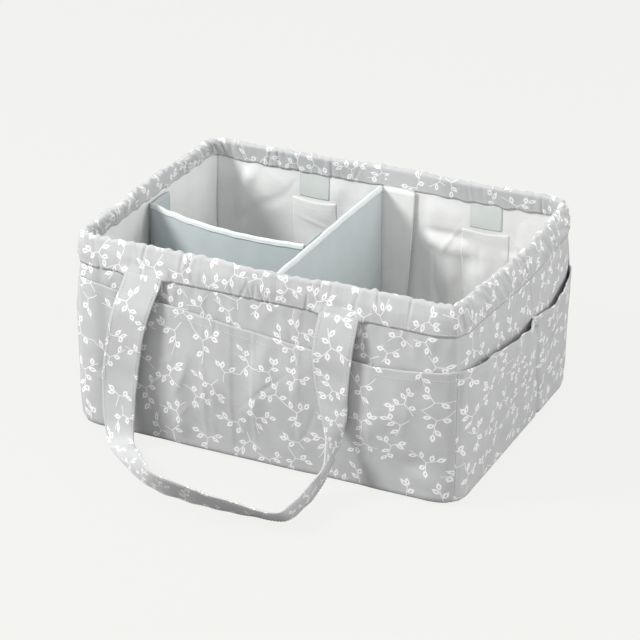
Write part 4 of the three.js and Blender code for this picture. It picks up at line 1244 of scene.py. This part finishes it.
def line_frame(line, count):
    """Shares along a plan line, its points, the direction to its left and the length walked."""
    share = np.linspace(0, 1, count)
    plan = line(share)
    along = unit(line(share + 1e-3) - line(share - 1e-3))
    return share, plan, np.stack([-along[:, 1], along[:, 0]], -1), length_along(plan)


divider_lengths = [line_frame(line, 50)[3][-1] for line in (cross_line, long_line)]
print("divider lengths in mm", np.round(np.array(divider_lengths) / MM))

# %% [markdown]
# ## Pads and bindings
# Each divider gets its pad first. The binding then wraps the pad's top edge, with a row of stitches on
# either face.

# %% Pads and bindings
def make_pad(name, line, body, nodes):
    """A rounded slab: its section is a flattened superellipse, fuller in the middle."""
    share, plan, left, length = line_frame(line, PAD_STEPS)
    low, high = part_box(nodes[0])[0].z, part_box(nodes[0])[1].z
    turn = np.linspace(0, 2 * math.pi, PAD_SPOTS + 1)[:-1]
    out = np.sign(np.cos(turn)) * np.abs(np.cos(turn)) ** PAD_FACE_POWER
    rise = np.sign(np.sin(turn)) * np.abs(np.sin(turn)) ** PAD_EDGE_POWER
    half = PAD_HALF + PAD_CROWN * (1 - rise ** 2)[None] * np.sin(math.pi * share)[:, None]
    height = (low + high) / 2 + rise * (high - low) / 2
    waves = PAD_WAVE * ripples(share[:, None] * RIPPLED_RUN, height[None], 61, 60 * MM)
    side = out[None] * half + waves * np.abs(out)[None]
    level = np.broadcast_to(height[None, :, None], side.shape + (1,))
    points = np.concatenate([plan[:, None] + left[:, None] * side[..., None], level], -1)
    uv = np.stack(np.broadcast_arrays(length[:, None], np.append(height, height[:1])[None]), -1)
    pad = closed_sweep(name, points, uv)
    dress(pad, MINT, body, "mint_cotton", *nodes)


def make_binding(name, line, body, node):
    """Tape folded over the top edge: up one face, round the top and down the other."""
    share, plan, left, length = line_frame(line, BIND_STEPS)
    turn = np.linspace(0, math.pi, BIND_TOP_ROWS)
    face = [BIND_HALF] * BIND_LEG_ROWS
    side = np.concatenate([face, BIND_HALF * np.cos(turn), np.negative(face)])
    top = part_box(node)[1].z - BIND_HALF
    leg = np.linspace(top - BIND_DROP, top - BIND_GAP, BIND_LEG_ROWS)
    height = np.concatenate([leg, top + BIND_HALF * np.sin(turn), leg[::-1]])
    wave = BIND_SWELL * ripples(share[:, None] * RIPPLED_RUN, height[None], 67, 30 * MM)
    level = height[None] + BIND_RISE * ripples(share * RIPPLED_RUN, 0, 69, 50 * MM)[:, None]
    spread = (side[None] * (1 + wave))[..., None]
    points = np.concatenate([plan[:, None] + left[:, None] * spread, level[..., None]], -1)
    run = np.linspace(0, 2 * BIND_DROP + math.pi * BIND_HALF, len(side))
    binding = cloth_grid(name, points, np.stack(np.broadcast_arrays(length[:, None], run[None]), -1))
    dress(thicken(binding, BIND_THICKNESS), TAPE, body, "binding_tape", node)
    for label, column in (("left", 1), ("right", len(side) - 2)):
        row = stitches(f"{name}_{label}_stitches", points[:, column], normals_of(points)[:, column])
        dress(row, TAPE, body, "binding_tape")


for divider, divider_line, covers in (
        ("cross_divider", cross_line, ("left", "right")),
        ("long_divider", long_line, ("front", "rear"))):
    layers = [f"{divider}_board", *(f"{divider}_{cover}_cover" for cover in covers)]
    make_pad(f"{divider}_pad", divider_line, divider, layers)
    make_binding(f"{divider}_tape", divider_line, divider, f"{divider}_binding")
print("dividers made")

# %% [markdown]
# ## Flanges, loop patches and tabs
# These are small flat pieces of cloth on the walls. Each is a rounded rectangle with a soft edge and a
# row of stitches, laid where its solid is. A bevelled slab would look like a tile. Rings that grow from
# the middle to the edge let the edge sink along its stitches, and on the soft lining they follow the
# folds under them.

# %% Flat sewn pieces
PATCH_SIZES = np.array([0.02, 0.4, 0.75, 0.93, 1, 1])
PATCH_LIFTS = np.array([1, 1, 1, 0.75, 0.7, 0])
STITCHED_RING = 3
CORNER_STRETCH = 1.6
FLAT_SPOTS, FLAT_BUMPS = 97, 0.3 * MM
LOOP_SPOTS, LOOP_ROUND, LOOP_PROUD = 81, 1.5 * MM, 0.7 * MM
CROSS_LOOP_ROUND, FLANGE_ROUND, TAB_ROUND = 2 * MM, 5 * MM, 1.5 * MM


def rounded_rings(half, round_by, spots):
    """Rings of a rounded rectangle, from its middle to its edge: a stretched circle cut off at the
    straight sides, plus a small circle for the corners, times the rings' shares."""
    turn = np.linspace(0, 2 * math.pi, spots)
    circle = np.stack([np.cos(turn), np.sin(turn)], -1)
    rim = np.clip(CORNER_STRETCH * circle, -1, 1) * (half - round_by) + round_by * circle
    return rim[None] * PATCH_SIZES[:, None, None]


def flat_piece(name, node, axis, face, round_by, body, slot, material, lean=0.0):
    """A rounded rectangle on a wall: rings grow from its middle to its edge, and the edge rolls back.
    axis is the direction that it faces (0 for x, 1 for y), face its sign, and lean how far its right
    edge draws in towards the bottom."""
    low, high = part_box(node)
    flat = 1 - axis
    half = np.array([(high[flat] - low[flat]) / 2, (high.z - low.z) / 2])
    spread = rounded_rings(half, round_by, FLAT_SPOTS)
    draw_in = lean * (1 + spread[..., 0] / half[0]) / 2 * (1 - spread[..., 1] / half[1]) / 2
    bumpy = FLAT_BUMPS * ripples(spread[..., 0], spread[..., 1], 71, 30 * MM)
    bumpy = bumpy * (PATCH_SIZES < 1)[:, None]
    lift = PATCH_LIFTS[:, None] * (high[axis] - low[axis]) - np.abs(bumpy)
    back = low[axis] if face > 0 else high[axis]
    points = np.zeros(spread.shape[:2] + (3,))
    points[..., flat] = (low[flat] + high[flat]) / 2 + spread[..., 0] - draw_in
    points[..., 2] = (low.z + high.z) / 2 + spread[..., 1]
    points[..., axis] = back + face * lift
    if (axis == 1) == (face < 0):
        points, spread = points[:, ::-1], spread[:, ::-1]
    piece = closed_sweep(name, points[:, :-1], spread)
    dress(piece, material, body, slot, node)
    facing = np.zeros_like(points[STITCHED_RING])
    facing[:, axis] = face
    row = stitches(f"{name}_stitches", points[STITCHED_RING], facing)
    dress(row, THREAD if material is PRINTED else material, body, slot)


def lining_patch(name, node, middle, half):
    """A loop patch on the lining: a rounded rectangle whose rings follow the soft wall under it, given
    by the place of its middle on the lap and its half width."""
    low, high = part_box(node)
    tall = (high.z - low.z) / 2
    spread = rounded_rings(np.array([half, tall]), LOOP_ROUND, LOOP_SPOTS)
    proud = LOOP_PROUD * PATCH_LIFTS[:, None]
    points = lining_point(middle + spread[..., 0], (low.z + high.z) / 2 + spread[..., 1], proud)
    patch = closed_sweep(name, points[:, ::-1][:, :-1], spread[:, ::-1])
    dress(patch, LOOP, "basket", "loop_tape", node)
    row = stitches(f"{name}_stitches", points[STITCHED_RING], -normals_of(points)[STITCHED_RING])
    dress(row, LOOP, "basket", "loop_tape")


for side_name in ("left", "middle", "right"):
    patch_low, patch_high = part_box(f"back_patch_{side_name}")
    patch_middle, patch_half = (patch_low.x + patch_high.x) / 2, (patch_high.x - patch_low.x) / 2
    lining_patch(f"back_loop_{side_name}", f"back_patch_{side_name}", BACK_AT - patch_middle, patch_half)
    lining_patch(f"front_loop_{side_name}", f"front_patch_{side_name}", patch_middle, patch_half)
patch_low, patch_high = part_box("left_patch")
patch_middle, patch_half = (patch_low.y + patch_high.y) / 2, (patch_high.y - patch_low.y) / 2
lining_patch("left_loop", "left_patch", -RIGHT_AT - patch_middle, patch_half)
flat_piece("cross_loop", "cross_divider_patch", 0, -1, CROSS_LOOP_ROUND,
           "cross_divider", "loop_tape", LOOP)
for end_name, facing_to in (("back", -1), ("front", 1)):
    flange = f"cross_divider_{end_name}_flange"
    flat_piece(f"cross_{end_name}_flange_cloth", flange, 1, facing_to,
               FLANGE_ROUND, "cross_divider", "lining_cotton", LINING, lean=12 * MM)
for end_name, facing_to, stuck_to in (("left", 1, "left_patch"), ("right", -1, "cross_divider_patch")):
    flange = f"long_divider_{end_name}_flange"
    flat_piece(f"long_{end_name}_flange_cloth", flange, 0, facing_to,
               FLANGE_ROUND, "long_divider", "mint_cotton", MINT)
for leg_side in ("left", "right"):
    for wall_side, facing_to in (("front", -1), ("back", 1)):
        tab = f"{wall_side}_handle_tab_{leg_side}"
        flat_piece(f"{tab}_cloth", tab, 1, facing_to, TAB_ROUND, "basket",
                   "printed_cotton", PRINTED)
print("patches, flanges and tabs made")

# %% [markdown]
# ## Inner pockets
# Two narrow pockets of lining cloth hang on the back wall under its loop patches. Each could be a copy
# of an outer pocket. It is a sheet of its own here, because it follows the loose lining and not the
# wall: it stands a little off the lining, dips at its mouth and folds over into a hem.

# %% Inner pockets
INNER_GAPE, INNER_STEP, INNER_DIP = 1.2 * MM, 0.9 * MM, 1.5 * MM
INNER_COLUMNS, INNER_TALL_ROWS, INNER_HEM_ROW = 40, 44, -5
INNER_STEP_POWER, INNER_ARCH_POWER, INNER_MOUTH_POWER = 0.4, 0.6, 1.8
INNER_HEM = np.array([[0.5, 0.3], [1.3, 0], [1.5, -4], [1.5, -8], [1.5, -12]]) * MM


def inner_stand(arch, share):
    """Distance of an inner pocket off the lining: a step at its sewn sides, and a gape that grows with
    the share of the height and is widest in the middle."""
    step = INNER_STEP * arch ** INNER_STEP_POWER
    return step + INNER_GAPE * arch ** INNER_ARCH_POWER * share ** INNER_MOUTH_POWER


def make_inner_pocket(name, node):
    """A narrow pocket on the back lining: sewn on three sides, its mouth standing a little open."""
    low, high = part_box(node)
    tall = high.z - low.z
    across = np.linspace(0, 1, INNER_COLUMNS)[None]
    share = np.linspace(0, 1, INNER_TALL_ROWS)[:, None]
    arch = np.sin(math.pi * across)
    x = low.x + (high.x - low.x) * across + 0 * share
    z = low.z + tall * share - INNER_DIP * arch * share
    outside = lining_point(BACK_AT - x, z, inner_stand(arch, share))
    hem_stand = inner_stand(arch, 1 + INNER_HEM[:, 1:] / tall) - INNER_HEM[:, :1]
    inside = lining_point(BACK_AT - x[-1:], z[-1:] + INNER_HEM[:, 1:], hem_stand)
    points = np.concatenate([outside, inside])
    pocket = cloth_grid(name, points, points[..., [0, 2]])
    dress(thicken(pocket, LINING_THICKNESS), LINING, "basket", "lining_cotton", node)
    normal = normals_of(outside)
    for label, line in (("hem", np.s_[INNER_HEM_ROW]), ("left", np.s_[:, 1]), ("right", np.s_[:, -2])):
        row = stitches(f"{name}_{label}_stitches", outside[line], normal[line])
        dress(row, LINING, "basket", "lining_cotton")


make_inner_pocket("inner_pocket_left_cloth", "inner_pocket_left")
make_inner_pocket("inner_pocket_right_cloth", "inner_pocket_right")
print("inner pockets made")

# %% [markdown]
# ## Strap handles
# A handle is one folded strap of the printed cloth, sewn at both ends under the rim. The front one
# hangs, turns on edge and stands on the table, leaning outwards. Each knot of its route gives a share
# of the span, the distance out from the hinge line and a share of the height, then which way the width
# points and how much of it is spread. The route is the solid's own, with two changes: the ends tucked
# under the rim are added, and the left leg hangs a few millimetres further off the wall. A curve object
# twists where it likes. Knots that say which way the width points keep the turn on edge as in the photo.

# %% Strap route
HINGE_OUT = -frame["joints"][0]["pos_m"][1]
HINGE_Z = frame["joints"][0]["pos_m"][2]
STRAP_THICKNESS = 2.6 * MM
TABLE_CLEAR = STRAP_THICKNESS / 2 + FIT_GAP
HANG_OUT, LOOP_REACH = 6.2 * MM, 90 * MM
TUCK_IN, TUCK_HEIGHT = -2.4 * MM, 1.03


def hang(reach):
    """Distance out from the hinge line: a little off the wall, then shares of the loop's reach."""
    return HANG_OUT + reach * LOOP_REACH


STRAP_ROUTE = [
    ((1, TUCK_IN, TUCK_HEIGHT), (1, 0, 0), 1),
    ((1, 0, 1), (1, 0, 0), 1),
    ((0.99, hang(0), 0.84), (1, 0, -0.04), 1),
    ((0.99, hang(0.02), 0.63), (1, 0, -0.09), 0.86),
    ((1.01, hang(0.06), 0.44), (0.97, 0.2, -0.07), 0.6),
    ((1.02, hang(0.14), 0.29), (0.3, 0.8, -0.5), 0.5),
    ((1.01, hang(0.25), 0.16), (-0.2, 0.75, -0.64), 0.78),
    ((0.985, hang(0.37), 0.085), (-0.19, 0.7, -0.69), 0.88),
    ((0.985, hang(0.575), 0.075), (-0.15, 0.72, -0.68), 0.89),
    ((0.98, hang(0.77), 0.075), (-0.19, 0.69, -0.7), 0.89),
    ((0.96, hang(0.97), 0.073), (-0.22, 0.7, -0.68), 0.89),
    ((0.89, hang(1), 0.07), (-0.3, 0.71, -0.63), 0.89),
    ((0.8, hang(1), 0.072), (-0.35, 0.66, -0.66), 0.89),
    ((0.7, hang(1), 0.077), (-0.33, 0.62, -0.71), 0.89),
    ((0.57, hang(1), 0.083), (-0.27, 0.59, -0.76), 0.89),
    ((0.44, hang(0.98), 0.088), (-0.24, 0.54, -0.8), 0.89),
    ((0.33, hang(0.95), 0.088), (-0.28, 0.52, -0.8), 0.89),
    ((0.25, hang(0.88), 0.085), (-0.39, 0.5, -0.77), 0.89),
    ((0.16, hang(0.735), 0.082), (-0.54, 0.39, -0.75), 0.89),
    ((0.055, hang(0.52), 0.068), (-0.75, 0.27, -0.6), 0.86),
    ((-0.065, hang(0.23), 0.045), (-0.97, 0, -0.23), 0.74),
    ((-0.09, hang(0.16), 0.105), (-1, 0, -0.05), 0.8),
    ((-0.1, hang(0.11), 0.24), (-1, 0, -0.07), 0.9),
    ((-0.09, hang(0.08), 0.455), (-1, 0, -0.06), 0.97),
    ((-0.055, hang(0.07), 0.72), (-1, 0, -0.03), 0.97),
    ((-0.03, hang(0.03), 0.86), (-1, 0, 0), 1),
    ((0, 0, 1), (-1, 0, 0), 1),
    ((0, TUCK_IN, TUCK_HEIGHT), (-1, 0, 0), 1),
]


def flowing(knots, steps):
    """A centripetal Catmull-Rom curve through the knots: cubic pieces whose end slopes weigh the
    neighbouring chords by the square root of their lengths."""
    padded = np.concatenate([[2 * knots[0] - knots[1]], knots, [2 * knots[-1] - knots[-2]]])
    place = np.linspace(0, len(knots) - 1, steps)
    piece = np.minimum(place.astype(int), len(knots) - 2)
    t = (place - piece)[:, None]
    before, here, there, beyond = (padded[piece + k] for k in range(4))

    def gap(a, b):
        return np.maximum(np.linalg.norm(b - a, axis=1, keepdims=True), 1e-9) ** 0.5

    def slope(a, b, c, first, second):
        return (b - a) / first - (c - a) / (first + second) + (c - b) / second

    first, second, third = gap(before, here), gap(here, there), gap(there, beyond)
    slope_here = slope(before, here, there, first, second) * second
    slope_there = slope(here, there, beyond, second, third) * second
    curve = (2 * t ** 3 - 3 * t ** 2 + 1) * here + (t ** 3 - 2 * t ** 2 + t) * slope_here
    return curve + (3 * t ** 2 - 2 * t ** 3) * there + (t ** 3 - t ** 2) * slope_there


print("knots of the strap", len(STRAP_ROUTE), "hinge height in mm", round(HINGE_Z / MM))

# %% [markdown]
# ## The two straps
# The strap is swept along its route as a flat, rounded section, with limp waves and a slight cup. The
# back strap is the front one turned half round.

# %% Straps
STRAP_STEPS, STRAP_SPOTS, STRAP_FACE_POWER, STRAP_EDGE_POWER = 460, 36, 0.3, 0.55
LIMP_WAVE, CUP_DEPTH, CUP_LENGTH, STIFF_END = 0.4 * MM, 1.2 * MM, 0.23, 30 * MM
LEAST_Z = 0.2 * MM
PRINT_SIDE_SHIFT, PRINT_ALONG, PRINT_ACROSS = 0.05, 3.3, 0.7
EDGE_STITCH = 0.84


def strap_path():
    """Centre line, half width and face direction of the front strap."""
    places = np.array([place for place, _, _ in STRAP_ROUTE], float)
    ways = unit(np.array([way for _, way, _ in STRAP_ROUTE], float))
    spread = np.array([share for _, _, share in STRAP_ROUTE], float)
    x = LEFT_LEG + places[:, 0] * (RIGHT_LEG - LEFT_LEG)
    z = TABLE_CLEAR + (HINGE_Z - TABLE_CLEAR) * places[:, 2]
    centre = flowing(np.stack([x, -(HINGE_OUT + places[:, 1]), z], -1), STRAP_STEPS)
    half = flowing(ways * spread[:, None] * STRAP_WIDTH / 2, STRAP_STEPS)
    return centre, half, unit(np.cross(np.gradient(centre, axis=0), half))


def strap_surface(across, lift):
    """Points of the strap for shares of its half width and heights over its middle plane, and the
    length walked along it. Soft waves make it limp."""
    centre, half, face = strap_path()
    length = length_along(centre)
    limp = LIMP_WAVE * ripples(length[:, None], across[None] * STRAP_WIDTH, 91, 34 * MM)
    cup = CUP_DEPTH * (across ** 2)[None] * np.sin(length * 2 * math.pi / CUP_LENGTH)[:, None]
    loose = ease(0, STIFF_END, np.minimum(length, length[-1] - length))[:, None]
    rise = lift[None] + (limp + cup) * loose
    points = centre[:, None] + half[:, None] * across[None, :, None] + face[:, None] * rise[..., None]
    points[..., 2] = np.maximum(points[..., 2], LEAST_Z)
    return points, length


def make_strap(name, turn_round, node):
    """The folded strap as a closed sweep, with rows of stitches near its edges on both faces."""
    turn = np.linspace(0, 2 * math.pi, STRAP_SPOTS + 1)[:-1]
    across = np.sign(np.cos(turn)) * np.abs(np.cos(turn)) ** STRAP_FACE_POWER
    lift = np.sign(np.sin(turn)) * np.abs(np.sin(turn)) ** STRAP_EDGE_POWER * STRAP_THICKNESS / 2
    points, length = strap_surface(across, lift)
    wrap = across * STRAP_WIDTH / 2 + np.sign(lift) * PRINT_SIDE_SHIFT
    wrap = np.append(wrap, wrap[:1])[None] + PRINT_ACROSS
    uv = np.stack(np.broadcast_arrays(length[:, None] + PRINT_ALONG, wrap), -1)
    flip = np.array([turn_round, turn_round, 1])
    strap = closed_sweep(name, points * flip, uv)
    strap.data.materials.append(PRINTED)
    rows = []
    for label, share, sign in (("inner_a", -EDGE_STITCH, 1), ("outer_a", EDGE_STITCH, 1),
                               ("inner_b", -EDGE_STITCH, -1), ("outer_b", EDGE_STITCH, -1)):
        line, _ = strap_surface(np.array([share]), np.array([sign * STRAP_THICKNESS / 2]))
        row = stitches(f"{name}_stitches_{label}", line[:, 0] * flip, strap_path()[2] * sign * flip)
        row.data.materials.append(THREAD)
        rows.append(row)
    for piece in [strap, *rows]:
        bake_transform(piece)
    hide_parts(node)
    return length[-1]


strap_length = make_strap("front_strap", 1, "front_handle")
make_strap("back_strap", -1, "back_handle")
print("strap length in mm", round(strap_length / MM))

# %% [markdown]
# ## Floor and light
# A pale floor and an even pale room light the cloth from all sides. One lamp at the upper left gives
# the soft shadows beside the straps, and a weaker one on the right fills the other side. The photo's
# ground is nearly white all over. A plain lit floor would go grey behind the part, so the floor glows a
# little for the camera alone and still takes shadows.

# %% Stage
FLOOR_COLOUR = (0.28, 0.28, 0.277, 1)
GLOW_COLOUR = (0.962, 0.970, 0.943, 1)
SKY_COLOUR = (0.888, 0.896, 0.871, 1)
FLOOR_GLOW, FLOOR_HALF, FLOOR_ROUGHNESS = 0.88, 12.0, 0.9
ROOM_STRENGTH = 0.675
KEY_PLACE, KEY_SIZE, KEY_WATTS = (-1.42, -1.2, 1.67), 0.7, 52
FILL_PLACE, FILL_SIZE, FILL_WATTS = (1.7, 0.0, 0.9), 1.0, 14


def make_floor():
    """A large square whose shader mixes plain cloth-like ground with a glow that only the camera and
    mirrors see."""
    mesh = bpy.data.meshes.new("floor")
    corners = [(x * FLOOR_HALF, y * FLOOR_HALF, 0) for x, y in ((-1, -1), (1, -1), (1, 1), (-1, 1))]
    mesh.from_pydata(corners, [], [(0, 1, 2, 3)])
    material, sk, shader = shader_of("floor", FLOOR_ROUGHNESS)
    shader.inputs["Base Color"].default_value = FLOOR_COLOUR
    tree = material.node_tree
    glow = sk.node("ShaderNodeEmission")
    glow.inputs["Color"].default_value = GLOW_COLOUR
    seen = sk.node("ShaderNodeLightPath").outputs
    blend = sk.node("ShaderNodeMixShader")
    direct = sk.math("MAXIMUM", seen["Is Camera Ray"], seen["Is Glossy Ray"])
    sk.feed(blend.inputs["Fac"], sk.math("MULTIPLY", direct, FLOOR_GLOW))
    tree.links.new(shader.outputs[0], blend.inputs[1])
    tree.links.new(glow.outputs[0], blend.inputs[2])
    tree.links.new(blend.outputs[0], tree.nodes["Material Output"].inputs["Surface"])
    mesh.materials.append(material)
    link("floor", mesh)


def make_world():
    """An even white room for the light, and a pale sky that only the camera sees."""
    world = bpy.data.worlds.new("room")
    bpy.context.scene.world = world
    world.use_nodes = True
    sk = Sketch(world.node_tree)
    room = world.node_tree.nodes["Background"]
    room.inputs["Color"].default_value = (1, 1, 1, 1)
    room.inputs["Strength"].default_value = ROOM_STRENGTH
    shown = sk.node("ShaderNodeBackground")
    shown.inputs["Color"].default_value = SKY_COLOUR
    blend = sk.node("ShaderNodeMixShader")
    sk.feed(blend.inputs["Fac"], sk.node("ShaderNodeLightPath").outputs["Is Camera Ray"])
    links = world.node_tree.links
    links.new(room.outputs[0], blend.inputs[1])
    links.new(shown.outputs[0], blend.inputs[2])
    links.new(blend.outputs[0], world.node_tree.nodes["World Output"].inputs["Surface"])


def make_lamp(name, place, size, power):
    """A round area lamp that points at the origin."""
    lamp = bpy.data.lights.new(name, "AREA")
    lamp.shape = "DISK"
    lamp.size = size
    lamp.energy = power
    made = bpy.data.objects.new(name, lamp)
    bpy.context.scene.collection.objects.link(made)
    made.location = place
    made.rotation_euler = (-Vector(place)).to_track_quat("-Z", "Y").to_euler()


make_floor()
make_world()
make_lamp("key", KEY_PLACE, KEY_SIZE, KEY_WATTS)
make_lamp("fill", FILL_PLACE, FILL_SIZE, FILL_WATTS)
bpy.context.scene.view_settings.view_transform = "Standard"
print("stage set")

# %% [markdown]
# ## Finish
# The view layer is updated once more at the end.

# %% Update the view layer
bpy.context.view_layer.update()
